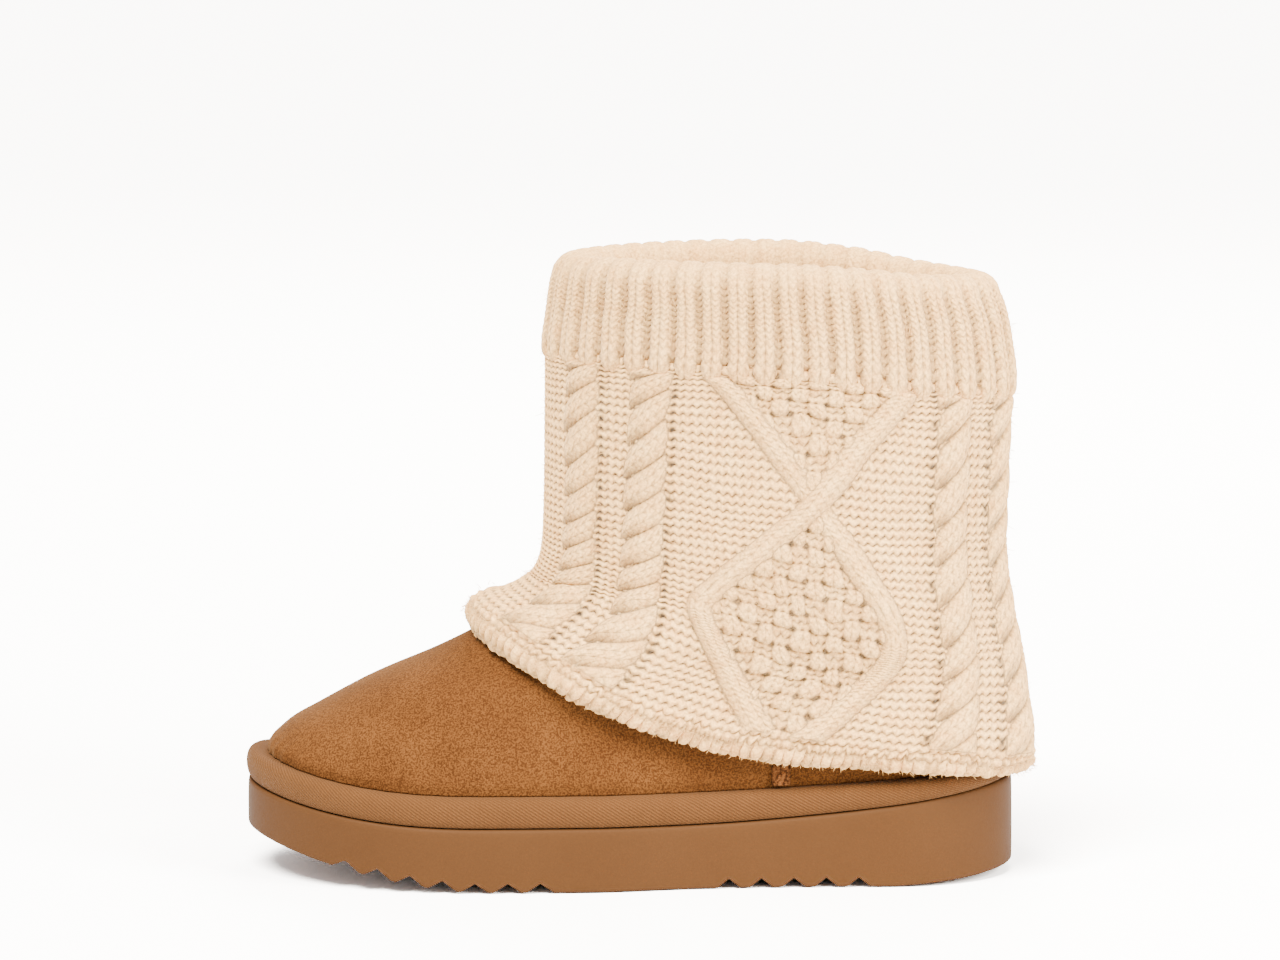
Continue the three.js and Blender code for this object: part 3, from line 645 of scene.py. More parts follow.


# %% [markdown]
# Knit: cream wool-like yarn. What makes it read as yarn is the warm shade between the stitches and
# a soft haze of fibres. Each yarn could be a tube of its own, but thousands of them are heavy. So the
# mesh carries only the larger shapes, with the depth of every point as a field, and the material
# paints that depth into the colour as warm shade in the hollows. It draws each stitch's yarn from the
# stitch count in the uv, and paints shade into the yarn's grooves as well. A sheen on the shader
# stands for the haze.

# %% Knit material
# The third colour is the painted shade that the knit's hollows and grooves go to.
KNIT_LIGHT, KNIT_DARK, KNIT_HOLLOW_SHADE = (1.0, 0.625, 0.240), (0.90, 0.50, 0.170), (0.036, 0.020, 0.010)
WHITE, WISP = (1, 1, 1), (0.58, 0.50, 0.42)
knit_finish, tree, shader, place = finish("cream knit", 0.95, 0.05, 0.25, 0.6, (1.0, 0.8, 0.55))


def hump(x):
    """The round of a yarn across a span: the root of four times x times what is left of 1."""
    rest = maths(tree, "SUBTRACT", 1.0, x)
    span = maths(tree, "MULTIPLY", maths(tree, "MULTIPLY", x, rest), 4.0, clamp=True)
    return maths(tree, "SQRT", span)


def yarn_height(stitch_place, plain):
    """The yarn's height in a stitch: a V of two slanted legs, or a bar that waves. Columns of Vs are
    parted by a tick in each row, not by an unbroken line."""
    count = node(tree, "ShaderNodeSeparateXYZ", {"Vector": stitch_place}).outputs
    off_middle = maths(tree, "ABSOLUTE", maths(tree, "SUBTRACT", maths(tree, "FRACT", count[0]), 0.5))
    once_a_row = maths(tree, "COSINE", maths(tree, "MULTIPLY", count[1], 2 * PI))
    joined = maths(tree, "ADD", maths(tree, "MULTIPLY", once_a_row, 0.32), 0.32)
    round_column = hump(maths(tree, "FRACT", count[0]))
    column = node(tree, "ShaderNodeMix", {0: joined, 2: round_column, 3: 1.0}).outputs[0]
    slant = maths(tree, "ADD", count[1], maths(tree, "MULTIPLY", off_middle, 1.3))
    leg = maths(tree, "ADD", maths(tree, "MULTIPLY", hump(maths(tree, "FRACT", slant)), 0.5), 0.5)
    parting = maths(tree, "ADD", maths(tree, "MULTIPLY", off_middle, 0.3, clamp=True), 0.85)
    legs = maths(tree, "MULTIPLY", maths(tree, "MULTIPLY", column, parting), leg)
    turn = maths(tree, "MULTIPLY", count[0], 2 * PI)
    level = maths(tree, "ADD", count[1], maths(tree, "MULTIPLY", maths(tree, "COSINE", turn), 0.17))
    crest = hump(maths(tree, "FRACT", level))
    comma = maths(tree, "COSINE", maths(tree, "ADD", turn, 0.75))
    depth = maths(tree, "ADD", maths(tree, "MULTIPLY", comma, 0.38), 0.62)
    bar = node(tree, "ShaderNodeMix", {0: depth, 2: 1.0, 3: crest}).outputs[0]
    return node(tree, "ShaderNodeMix", {0: plain, 2: bar, 3: legs}).outputs[0]


flat_uv = node(tree, "ShaderNodeUVMap", uv_map="flat").outputs[0]
uneven = node(tree, "ShaderNodeTexNoise", {"Vector": place, "Scale": 240.0, "Detail": 2.0}).outputs["Color"]
centred = node(tree, "ShaderNodeVectorMath", {0: uneven, 1: (0.5, 0.5, 0.5)}, operation="SUBTRACT").outputs[0]
sway = node(tree, "ShaderNodeVectorMath", {0: centred, "Scale": 0.45}, operation="SCALE").outputs[0]
stitch_place = node(tree, "ShaderNodeVectorMath", {0: flat_uv, 1: sway}, operation="ADD").outputs[0]
plain = node(tree, "ShaderNodeAttribute", attribute_name="plain").outputs["Fac"]
fuzzy = node(tree, "ShaderNodeAttribute", attribute_name="fuzzy").outputs["Fac"]
crisp = yarn_height(stitch_place, plain)
yarn = node(tree, "ShaderNodeMix", {0: fuzzy, 2: crisp, 3: 0.85}).outputs[0]
base = mottled(tree, place, KNIT_LIGHT, KNIT_DARK, 170.0, 2.4)
wisps = mottled(tree, place, WHITE, WISP, 1150.0, 3.6)
cream = blend_colour(tree, base, wisps, 0.75, "MULTIPLY")
# Painted shade: each point's crown field and the yarn's grooves darken the colour towards the hollow shade.
unshaded = node(tree, "ShaderNodeAttribute", attribute_name="unshaded").outputs["Fac"]
shaded = maths(tree, "MULTIPLY", unshaded, maths(tree, "ADD", maths(tree, "MULTIPLY", yarn, 0.7), 0.3))
tree.links.new(hollow_shaded(tree, cream, KNIT_HOLLOW_SHADE, shaded, 0.95), shader.inputs["Base Color"])
fibres = grained(tree, place, 1100.0, 3200.0, 0.6)
fluffy = maths(tree, "ADD", yarn, maths(tree, "MULTIPLY", fibres, 0.45))
bump(tree, shader, fluffy, 0.9, 0.0009)

# %% [markdown]
# Stitches. On the real cuff each kind is a way of looping the yarn. Each could be a small model that
# is copied, but ropes and diamonds cut through the counts, so each kind is a function of the stitch c
# and the row v instead. It gives a list of five arrays: the height over the cuff's plain wall in
# millimetres, the crown, which the material paints as shade (0 in a hollow, darkest, and 1 on top),
# whether the yarn shows as plain Vs (1) or purl bars (0), and the yarn's own column and row, which
# the material reads.

# %% Stitch shapes


def oval(x, power=0.5):
    """The side view of a round yarn: a power of one less the square of x."""
    return np.clip(1 - x * x, 0, 1) ** power


def over(under, top, where):
    """One kind of stitch laid over another where it shows."""
    return [np.where(where, t, u) for u, t in zip(under, top)]


def purl_stitch(c, v):
    """Bars that wave once in a stitch. The painted shade in the hollow between rows is darkest at one side of
    each.
    """
    bar = oval(frac(v + 0.17 * np.cos(2 * PI * c)) * 2 - 1, 0.55)
    comma = 0.5 + 0.5 * np.cos(2 * PI * (c + 0.12))
    luck = 0.6 + 0.8 * chance(np.floor(c + 0.62), np.floor(v), 4.0)
    return [0.95 * bar, 0.96 - (1 - bar) * (0.35 + 0.7 * comma * luck), 0 * c, c, v]


def moss_stitch(c, v):
    """Pads two stitches wide and two rows high, set like a chessboard. Some corners are deep dots, painted
    dark as shade.
    """
    c, v = c + 0.3 * wobble(c * 0.8, v * 0.7, 8.0), v + 0.3 * wobble(c * 0.7, v * 0.8, 9.0)
    column, row = np.floor(c / 2), np.floor(v / 2)
    front = (column + row) % 2 < 1
    x, y = frac(c / 2) * 2 - 1, frac(v / 2) * 2 - 1
    pad = oval(x / 1.06, 0.35) * oval(y / 1.06, 0.35)
    bars = purl_stitch(c, v)
    near_c, near_v = np.round(c / 2), np.round(v / 2)
    away = ((c - 2 * near_c) / 0.3) ** 2 + ((v - 2 * near_v) / 0.3) ** 2
    dot = np.exp(-away) * (0.2 + 1.3 * chance(near_c, near_v, 2.0))
    height = np.where(front, 1.0 + (0.6 + 0.8 * chance(column, row)) * pad, 0.3 + 0.7 * bars[0]) - 1.2 * dot
    # Painted shade: the back pads and the dots at the corners are darker in the crown.
    crown = np.where(front, 0.8 + 0.2 * pad, 0.3 + 0.5 * bars[1]) - 1.0 * dot
    return [height, crown, 1.0 * front, c, v]


def hem_stitch(c, v):
    """The last rows: a soft bump in each stitch, no two alike, set half a stitch over in each row."""
    over_by = c + 0.5 * np.mod(np.floor(v), 2) + 0.4 * wobble(c * 0.9, v * 0.8, 7.0)
    luck = chance(np.floor(over_by), np.floor(v), 1.0)
    knob = oval(frac(over_by) * 2 - 1, 0.8) * oval(frac(v) * 2 - 1, 0.7)
    # The crown paints shade between the knobs; some knobs are lighter at random.
    return [0.3 + (0.9 + 1.3 * luck) * knob, 0.2 + 0.65 * knob**0.6 + 0.25 * luck, 0 * c, over_by, v]


sample = np.meshgrid(np.linspace(0, 8, 161), np.linspace(0, 8, 161))
for name, kind in (("purl", purl_stitch), ("moss", moss_stitch), ("hem", hem_stitch)):
    print(name, "rises up to", kind(*sample)[0].max().round(2), "mm")


# %% [markdown]
# The panels, counted from the front's middle: purl, rope, purl, rope, the diamond field, rope, purl,
# rope, purl, and the same again on the other side. A rope is two bundles of stitches that cross
# again and again, which shows as slanted lobes. They could be twisted tubes laid on the cuff, but
# they grow out of its ground, so they are heights as well. The table gives each rope's middle, how
# far it leans to each side of that on its way down, its half width, and the rows in a lobe. The
# diamonds are two narrow bundles that swing apart and cross, with moss inside and purl outside.

# %% Ropes and diamonds
ROPES = [  # middle, lean, half width in stitches, rows in a lobe
    (9.1, 0.2, 2.4, 4.0), (17.3, 0.9, 2.4, 4.0), (53.3, 0.0, 2.25, 4.5), (61.2, 0.0, 2.25, 4.5),
    (70.8, 0.0, 2.25, 4.5), (78.7, 0.0, 2.25, 4.5), (114.7, -0.9, 2.4, 4.0), (122.9, -0.2, 2.4, 4.0),
]
DIAMONDS, FIELD_HALF = [35, 97], 15.3  # the fields' middles, and how far they reach, in stitches
ROPE_RISE = 1.2  # how much of a lobe's height it climbs across the rope
RIB_HALF = 1.16  # in stitches
STRAND_SWING, STRAND_HALF = 11.0, 4.7  # in stitches and in millimetres
SOFTENING = 0.955  # how sharp the diamonds' corners are, where 1 is a straight zigzag
CROSS_ROW, CROSS_PERIOD = 14.9, 30.4  # where the strands cross, and the rows to the next crossing
strand_shift = through([0, 15, 30, 44], [1.2, 2.0, -0.2, 1.6])  # the pattern's middle, in stitches, by row


def rope(x, turn):
    """Slanted lobes with round ends, tucked in at the lower left. x runs from -1 to 1 across the rope,
    and turn counts the lobes down it."""
    climb = ROPE_RISE * (0.5 * (x + 1) / 2 + 0.5 * np.arccos(np.clip(-x, -1, 1)) / PI)
    lobe = frac(turn + climb)
    body = oval(lobe * 2 - 1, 0.5)
    dome = oval(x / (0.84 + 0.22 * body), 0.42)
    tucked = smooth((lobe - 0.45) / 0.5) * smooth((0.2 - x) / 0.9)
    height = dome * (1.2 + 2.1 * body - 1.1 * tucked)
    # Painted shade: the crown is lower at each lobe's ends and the rope's sides, and lowest where its lower
    # left tucks under.
    crown = (0.5 + 0.5 * body**0.7) * (0.75 + 0.25 * dome) - 0.55 * tucked
    return [height, crown, 0 * x + 1, lobe * 3, x * 3.0 + 0 * turn]


def strand_centre(v):
    """A softened zigzag: arcsin of most of a sine."""
    wave = np.sin(PI * (CROSS_ROW - v) / CROSS_PERIOD)
    return STRAND_SWING * np.arcsin(SOFTENING * wave) / np.arcsin(SOFTENING)


def strand(x, v, sign):
    """One strand of the diamonds, of three plain columns. x is in stitches from the pattern's middle."""
    slope = (strand_centre(v + 0.05) - strand_centre(v - 0.05)) / 0.1 * sign * STITCH / ROW
    lean = 1 / np.sqrt(1 + slope**2)
    off = (x - sign * strand_centre(v)) * STITCH * lean / STRAND_HALF
    body = oval(off, 0.62)
    meeting = np.exp(-((strand_centre(v) / 3.2) ** 2))
    lift = np.where(slope < 0, 0.5, -1.5) * meeting
    height = np.where(np.abs(off) < 1, body * (3.1 + lift), 0)
    # Painted shade: the crown falls towards the strand's sides.
    return [height, 0.5 + 0.5 * body, 0 * x + 1, (off + 1) * 1.5, v / lean]


def knit_body(c, v):
    """The cuff under its rib. Ropes and strands rise from under the rib, and sink into the hem."""
    cc = c + 0.15 * wobble(c * 0.5, v * 0.4, 1.0)
    vv = v + 0.2 * wobble(c * 0.4, v * 0.3, 2.0)
    risen = smooth((v + 0.4) / 2.2) * smooth((HEM_ROW + 2.2 - v) / 1.6)
    stitch = purl_stitch(cc, vv)
    for centre in DIAMONDS:
        x = cc - centre - strand_shift(vv)
        field = np.abs(cc - centre) < FIELD_HALF
        inside = (np.abs(x) < np.abs(strand_centre(vv)) - 0.4) & field
        stitch = over(stitch, moss_stitch(cc, vv), inside)
        for sign in (-1, 1):
            one = strand(x, vv, sign)
            one[0] = one[0] * risen
            stitch = over(stitch, one, (one[0] > stitch[0]) & field)
    for centre, lean, half, lobe_rows in ROPES:
        off = cc - centre - lean * (0.5 - vv / BODY_ROWS) * 2
        x = (np.mod(off + AROUND / 2, AROUND) - AROUND / 2) / half
        inward = np.sign(min(DIAMONDS, key=lambda middle: abs(middle - centre)) - centre)
        beat = (frac(vv / lobe_rows + 0.3) - 0.5) * lobe_rows
        # Painted shade in the holes beside each rope: the crown drops a little in each row and more once in
        # each lobe.
        holes = np.exp(-(((x - 1.2 * inward) * half / 0.42) ** 2))
        small, large = np.cos(2 * PI * vv) * 0.3 + 0.3, 0.9 * np.exp(-((beat / 0.42) ** 2))
        stitch[1] = stitch[1] - holes * np.maximum(small, large)
        one = rope(np.clip(x, -1.06, 1.06), vv / lobe_rows)
        one[0] = one[0] * risen
        stitch = over(stitch, one, (np.abs(x) < 1.06) & (one[0] > stitch[0]))
    hem, edge = hem_stitch(cc, vv), smooth(vv - HEM_ROW)
    blended = [mix(stitch[k], hem[k], edge) for k in (0, 1)]
    stitch = blended + over(stitch, hem, edge > 0.5)[2:]
    stitch[0] = stitch[0] * (1 + 0.1 * wobble(c * 0.23, v * 0.21, 5.0))
    return stitch


def knit_rib(c, v):
    """Two plain stitches and one purl: a broad rib, with a hollow of bars beside it."""
    cc = c + 0.12 * wobble(c * 0.3, v * 0.35, 4.0)
    vv = v + 0.12 * wobble(c * 0.6, v * 0.3, 6.0)
    x = np.mod(cc + 0.5, 3) - 1.5
    ridge = oval(x / RIB_HALF, 0.45)
    parting = np.exp(-((x / 0.17) ** 2))
    bars = purl_stitch(cc, vv)
    height = ridge * (1.9 - 0.5 * parting) + 0.35 * bars[0]
    # The crown paints shade in the hollow of bars beside each rib, and a little along its parting.
    crown = np.where(ridge > 0.3, 0.7 + 0.3 * ridge - 0.2 * parting, 0.5 * bars[1])
    return [height, crown, 1.0 * (np.abs(x) < 1.05), cc, vv]


whole = np.arange(0, AROUND, 0.25), np.arange(0, BODY_ROWS, 0.25)
heights = knit_body(*np.meshgrid(*whole))[0]
print(len(ROPES), "ropes; the body's stitches rise", heights.max().round(2), "mm, on average",
      heights.mean().round(2), "mm")


# %% [markdown]
# The cuff's body is knitted in one tube. One mesh of it would be too heavy for a piece, so it is
# worked in four sectors, which meet in the hollows between ropes. Each is a closed wall: fine rows
# down its outer face, a rounded hem, and coarse rows back up inside.

# %% The cuff's body
FINE = 6  # points in a stitch and in a row
FACE = KNIT_THICK - 0.7  # the wall's thickness under its stitches
TUCK_ROWS, TUCK_DEPTH = 1.2, 1.6  # rows under the rib, and how deep they sink there, in millimetres
HEM_ROWS = 1.6  # rows that turn round the hem


def relief(points, height, wrap_cols):
    """Points moved out along the surface's own normals, found from their neighbours."""
    def spread(axis, wrap):
        """From a point's neighbour before it to the one after it. An open edge repeats itself."""
        pad = [(0, 0)] * 3
        pad[axis] = (1, 1)
        wide = np.pad(points, pad, mode="wrap" if wrap else "edge")
        high_side, low_side = [slice(None)] * 3, [slice(None)] * 3
        high_side[axis], low_side[axis] = slice(2, None), slice(0, -2)
        return wide[tuple(high_side)] - wide[tuple(low_side)]

    normal = unit(np.cross(spread(0, True), spread(1, wrap_cols)))
    return points + normal * height[..., None]


def both(values, others):
    """A grid's rows and columns as two arrays of one shape."""
    values = np.asarray(values, float)[:, None]
    return values + 0 * others, others + 0 * values


def knit_piece(name, points, quads, stitch, fuzzy, **more):
    """A piece of knit with its yarn's places as uv, and its crown (its painted shade), kind and fuzz as
    fields.
    """
    _, crown, plain, column, row = stitch
    fields = {"unshaded": np.clip(crown, 0, 1), "plain": plain, "fuzzy": fuzzy + 0 * crown}
    piece = make_piece(name, points, quads, uv=np.stack([column, row], -1), fields=fields, **more)
    piece.data.materials.append(knit_finish)
    return piece


def body_loop(c):
    """The loop of rows round the cuff's wall, and the stitches on it."""
    v = np.linspace(-TUCK_ROWS, BODY_ROWS, int((BODY_ROWS + TUCK_ROWS) * FINE) + 1)
    row = np.where(v > 0, 1 - (1 - HEM_LIP) * v / BODY_ROWS, 1 - v / RIB_ROWS)
    hem = np.linspace(0, PI, 9)[1:-1]
    inner = np.array([0.0, 0.06, 0.12, 0.2, 0.3, 0.42, 0.56, 0.75, 1.0, row[0]])
    rows = np.concatenate([row, HEM_LIP * (1 + np.cos(hem)) / 2 - 0.012 * np.sin(hem), inner])
    thick = np.concatenate([0 * v + FACE, FACE * (1 + np.cos(hem)) / 2 + 0.2, 0 * inner + 0.4])
    count = np.concatenate([v, BODY_ROWS + hem / PI * HEM_ROWS, BODY_ROWS + HEM_ROWS + 0 * inner])
    tucked_under = 1 - smooth((v + TUCK_ROWS) / 0.9)
    shown = np.concatenate([1 - tucked_under, np.cos(hem / 2) ** 0.5, 0 * inner])
    sunk = np.concatenate([TUCK_DEPTH * tucked_under, 0 * hem, 0 * inner])
    near = np.concatenate([smooth((v - HEM_ROW - 0.2) / 1.8), 0 * hem + 1, [1.0, 0.3], 0 * inner[2:]])
    row_grid, angle_grid = both(rows, stitch_angle(c))
    scallop = 0.012 * (1 - np.abs(np.sin(PI * c))) * (0.4 + chance(np.round(c), 0, 3.0))
    row_grid = row_grid + near[:, None] * scallop
    points = cuff_point(angle_grid, row_grid, both(thick, c)[0])
    stitch = knit_body(*both(count, c)[::-1])
    fuzzy = np.maximum(0.1 * stitch[2], 0.5 * smooth((both(count, c)[0] - HEM_ROW + 0.5) / 1.5))
    return relief(points, stitch[0] * shown[:, None] - sunk[:, None], False), stitch, fuzzy


SECTORS = [  # name, first stitch, last stitch
    ("knit_front", -13, 13), ("knit_outer_panel", 13, 57), ("knit_back", 57, 75),
    ("knit_inner_panel", 75, 119),
]
cuff_pieces = []
for name, first, last in SECTORS:
    c = np.linspace(first, last, (last - first) * FINE + 1)
    points, stitch, fuzzy = body_loop(c)
    rows, cols = points.shape[:2]
    ring = np.arange(rows) * cols
    lids = [ring, (ring + cols - 1)[::-1]]
    quads = grid_quads(rows, cols, wrap_rows=True, downward=True)
    cuff_pieces.append(knit_piece(name, points, quads, stitch, fuzzy, lids=lids))

# %% [markdown]
# The rib is one ring: up the outside, over the collar as a loose roll, and down the inside. It could
# be a flat band that is bent over, but a bend squeezes its stitches. So three surfaces follow one
# another, and one count of rows runs on through them. Its lower edge is rounded and laps over the
# body, as the last rib row does. The ribs soften where they go over the roll, whose top sways.

# %% The rib and the roll
c = np.arange(0, AROUND, 1 / FINE)
angle = stitch_angle(c)
LAP, ROLL_ROWS, LINING = 0.55, 8, 0.3  # rows over the body, rows over the roll, thickness inside
v_up = np.linspace(LAP, -RIB_ROWS, 56)[:, None]
turns = np.linspace(0, PI, 31)[1:, None]
depths = np.linspace(0, TURNED_IN, 17)[1:, None]
loop, kinds, fuzz = [], [], []


def add_rows(surface, places, thickness, v=None, shown=1.0, soft=0.0):
    """Rows on a surface. With v, the rib's count of rows, they carry its stitches."""
    along, around = both(np.ravel(places), angle)
    loop.append(surface(around, along, thickness + 0 * along))
    stitch = knit_rib(c + 0 * along, 0 * along if v is None else v + 0 * along)
    stitch[0] = stitch[0] * (0 if v is None else shown)
    stitch[1] = mix(stitch[1], 1.0, soft)
    kinds.append(stitch)
    fuzz.append(soft + 0 * along)


ridge = oval((np.mod(c + 0.5, 3) - 1.5) / RIB_HALF, 0.45)
lip = oval(np.clip((v_up + 1.1 * (1 - ridge)) / 0.56, 0, 1), 0.5)
bulge = 0.4 * np.exp(-(((v_up + 1.2) / 1.6) ** 2))
v_over = -RIB_ROWS - turns / PI * ROLL_ROWS
v_inside = -RIB_ROWS - ROLL_ROWS - depths / ROW
fade, fade_over = [smooth((-v - 10.4) / 5.5) for v in (v_up, v_over)]
leg_end = 1 - smooth((depths - TURNED_IN + 2) / 2)
face = 0.8 + (FACE - 0.8) * lip + bulge
add_rows(cuff_point, 1 - v_up / RIB_ROWS, face, v_up, lip * (1 - 0.6 * fade), 0.7 * fade)
add_rows(over_collar, turns, FACE, v_over, 1 - 0.6 * fade_over, 0.7 * fade_over)
again = smooth(depths / 6)
add_rows(turned_in, depths, FACE, v_inside, leg_end * (0.4 + 0.4 * again), 0.7 - 0.6 * again)
add_rows(turned_in, [TURNED_IN, TURNED_IN / 2, 1.0], LINING)
add_rows(over_collar, np.linspace(PI, 0, 7)[1:-1], LINING)
add_rows(cuff_point, [2.0, 1.7, 1.3, 1.0, 1 - LAP / RIB_ROWS], LINING)
loop = np.concatenate(loop)
stitch = [np.concatenate(part) for part in zip(*kinds)]
loop[..., 2] += 1.0 * wobble(angle * 2, 0 * angle, 2.0) * smooth((loop[..., 2] - 180) / 25)
rows, cols = loop.shape[:2]
points = relief(loop, -stitch[0], True)
quads = grid_quads(rows, cols, True, True)
cuff_pieces.append(knit_piece("knit_rib", points, quads, stitch, np.concatenate(fuzz), around=AROUND))
for piece in cuff_pieces:
    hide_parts("knit_cuff")

# %% [markdown]
# Suede: the brushed flesh side of a hide. Its nap scatters light, so it has no gloss, but it is
# lighter where it is brushed one way and darker where the other way. Hair particles could stand for
# the nap, but it is shorter than a pixel. So two mottles of different scale carry the brushing, a
# fine grain stands for the nap, and a sheen brightens it at a glance. The plush inside is longer,
# which a coarser grain and a deeper bump show.

# %% Suede and plush materials
SUEDE_LIGHT, SUEDE_DARK, NAP_SHADE = (0.112, 0.0440, 0.0115), (0.076, 0.0278, 0.0068), (0.30, 0.24, 0.18)
suede, tree, shader, place = finish("brushed suede", 0.92, 0.05, 0.10, 0.35, (1.0, 0.6, 0.3))
broad = mottled(tree, place, SUEDE_LIGHT, SUEDE_DARK, 42.0, 1.7)
fine = mottled(tree, place, WHITE, NAP_SHADE, 1700.0, 6.0)
tree.links.new(blend_colour(tree, broad, fine, 0.8, "MULTIPLY"), shader.inputs["Base Color"])
bump(tree, shader, grained(tree, place, 800.0, 2400.0, 0.7), 0.45, 0.0005)

PLUSH_LIGHT, PLUSH_DARK = (0.62, 0.46, 0.28), (0.40, 0.28, 0.16)
plush, tree, shader, place = finish("plush pile", 0.97, 0.05, 0.3, 0.6, (1.0, 0.9, 0.75))
tree.links.new(mottled(tree, place, PLUSH_LIGHT, PLUSH_DARK, 260.0, 2.2), shader.inputs["Base Color"])
bump(tree, shader, grained(tree, place, 330.0, 1300.0, 0.6), 0.8, 0.0016)

# %% [markdown]
# The upper is a closed wall: fine rows of suede outside, and plush inside. Sculpting could add its
# unevenness, but a few smooth functions keep it soft and small. They tuck and pucker the suede where
# it is pulled down to the platform, and make it a little uneven everywhere else.

# %% The upper
around = 320
# Even steps of the angle crowd together along the length at the toe and heel, where it bends most.
angle = np.linspace(0, 2 * PI, around, endpoint=False)
rises = np.concatenate([np.linspace(0, 0.72, 110), np.linspace(0.74, 2.0, 26)])
inner_rises = np.linspace(2.0, 0.0, 44)
NAP_HANG = 0.24  # how far the nap hangs down over the platform's edge


def suede_relief(angle, rise, point):
    """Soft dents in millimetres: a tuck and puckers that die away over the platform, and above them a
    broad wobble."""
    x, y = point[..., 0], point[..., 1]
    tuck = -0.6 * np.exp(-((rise / 0.03) ** 2))
    puckers = 0.22 * np.sin(angle * 60 + 2 * wobble(angle * 7, rise)) * np.exp(-((rise / 0.09) ** 2))
    uneven = 0.35 * wobble(x * 0.05, y * 0.06 + rise * 3, 1.0)
    return tuck + puckers + uneven * smooth(rise / 0.1)


r, a = both(rises, angle)
height = suede_relief(a, r, upper_point(a, r))
print("the suede is uneven by", height.min().round(2), "to", height.max().round(2), "mm")
outer = off_upper(a, r, height)
outer[..., 2] -= NAP_HANG * smooth(1 - r / 0.02)
r, a = both(inner_rises, angle)
pile_height = 0.5 * wobble(a * 41, r * 60, 2.0) + 0.4 * wobble(a * 77, r * 130, 5.0)
inner = off_upper(a, r, -UPPER_WALL - pile_height * smooth(r * 12) * smooth((2 - r) * 12))
points = np.concatenate([outer, inner])
rows = len(points)
quads = grid_quads(rows, around, True, True)
slots = (np.arange(rows) >= len(rises)).repeat(around).astype(int)
upper_piece = make_piece("upper_suede", points, quads, slots=slots)
upper_piece.data.materials.append(suede)
upper_piece.data.materials.append(plush)
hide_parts("upper")

# %% [markdown]
# Insole: a plush board. A copy of the sole's outline would be too wide, since the upper leans in. So
# its edge follows the inside of the upper. Its top is worked as rungs from the outer edge to the
# inner edge, so it can crown a little and carry the tufts of its pile.

# %% The insole


def inside_upper(angle, height, distance):
    """A point at a height over the platform, a distance inside the upper's outer face. The rise is
    mended a few times by what its height still lacks."""
    rise = np.zeros_like(angle)
    point = off_upper(angle, rise, -distance)
    for _ in range(6):
        wanted = band_top(share_at(point[..., 0])) + GAP + height
        rise = np.maximum(0, rise + (wanted - point[..., 2]) / (ANKLE_HEIGHT - OUTSOLE_HEIGHT - BAND_HEIGHT))
        point = off_upper(angle, rise, -distance)
    point[..., 2] = band_top(share_at(point[..., 0])) + GAP + height
    return point


half = np.linspace(0.02, PI - 0.02, 150)
edge = [(0.05, 4.3), (1.2, 4.0), (2.6, 4.0), (3.8, 4.6), (4.6, 5.8)]  # height, distance inside
outer_edge = np.stack([inside_upper(half, h, 0 * half + d) for h, d in edge])
inner_edge = np.stack([inside_upper(2 * PI - half, h, 0 * half + d) for h, d in edge])
across = np.linspace(0, 1, 62)[1:-1, None, None]
top = outer_edge[-1][None] * (1 - across) + inner_edge[-1][None] * across
crown = 0.5 * np.sin(PI * across[..., 0]) ** 0.5 + 0.35 * wobble(top[..., 0] * 0.9, top[..., 1] * 0.8, 3.0)
top[..., 2] += crown * np.sin(PI * across[..., 0]) ** 0.3
under = np.linspace(1, 0, 6)[1:-1, None, None]
base = outer_edge[0][None] * (1 - under) + inner_edge[0][None] * under
loop = np.concatenate([outer_edge, top, inner_edge[::-1], base])
rows, cols = loop.shape[:2]
ring = np.arange(rows) * cols
insole = make_piece("insole_plush", loop, grid_quads(rows, cols, wrap_rows=True),
                    [ring[::-1], ring + cols - 1])
insole.data.materials.append(plush)
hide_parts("insole")

# %% [markdown]
# The platform's side is wrapped in a twill tape, whose threads show as short slanted ticks. They
# could be modelled, but they are under a millimetre wide, so they are bump and painted shade, which
# darkens the colour in the hollows between them. Two waves make them: one of slanted ribs, and one
# across it that lowers and shades each rib now and then. Both are drawn in the tape's own flat
# coordinates, length along it and height up it, so that the slant follows the curve of the toe.

# %% Tape material
# The tape's third colour is the painted shade of its hollows.
TAPE_LIGHT, TAPE_DARK, TAPE_HOLLOW_SHADE = (0.096, 0.0400, 0.0120), (0.077, 0.0310, 0.0087), (0.052, 0.020, 0.0055)
TWILL_SLANT = -0.98  # radians
tape, tree, shader, place = finish("woven tape", 0.85, 0.08, 0.04, 0.5, (1.0, 0.7, 0.45))
flat_uv = node(tree, "ShaderNodeUVMap", uv_map="flat").outputs[0]
slanted = node(tree, "ShaderNodeMapping", {"Vector": flat_uv, "Rotation": (0, 0, TWILL_SLANT)}).outputs[0]
ribs = node(tree, "ShaderNodeTexWave",
            {"Vector": slanted, "Scale": 0.31, "Distortion": 1.6, "Detail": 2.0, "Detail Scale": 2.5},
            wave_type="BANDS", bands_direction="X")
threads_down = node(tree, "ShaderNodeTexWave",
                    {"Vector": flat_uv, "Scale": 0.2, "Distortion": 2.5, "Detail": 1.0, "Detail Scale": 2.0},
                    wave_type="BANDS", bands_direction="X")
floats = maths(tree, "ADD", maths(tree, "MULTIPLY", threads_down.outputs["Fac"], 0.5), 0.5)
twill = maths(tree, "MULTIPLY", ribs.outputs["Fac"], floats)
base = mottled(tree, place, TAPE_LIGHT, TAPE_DARK, 120.0, 1.4)
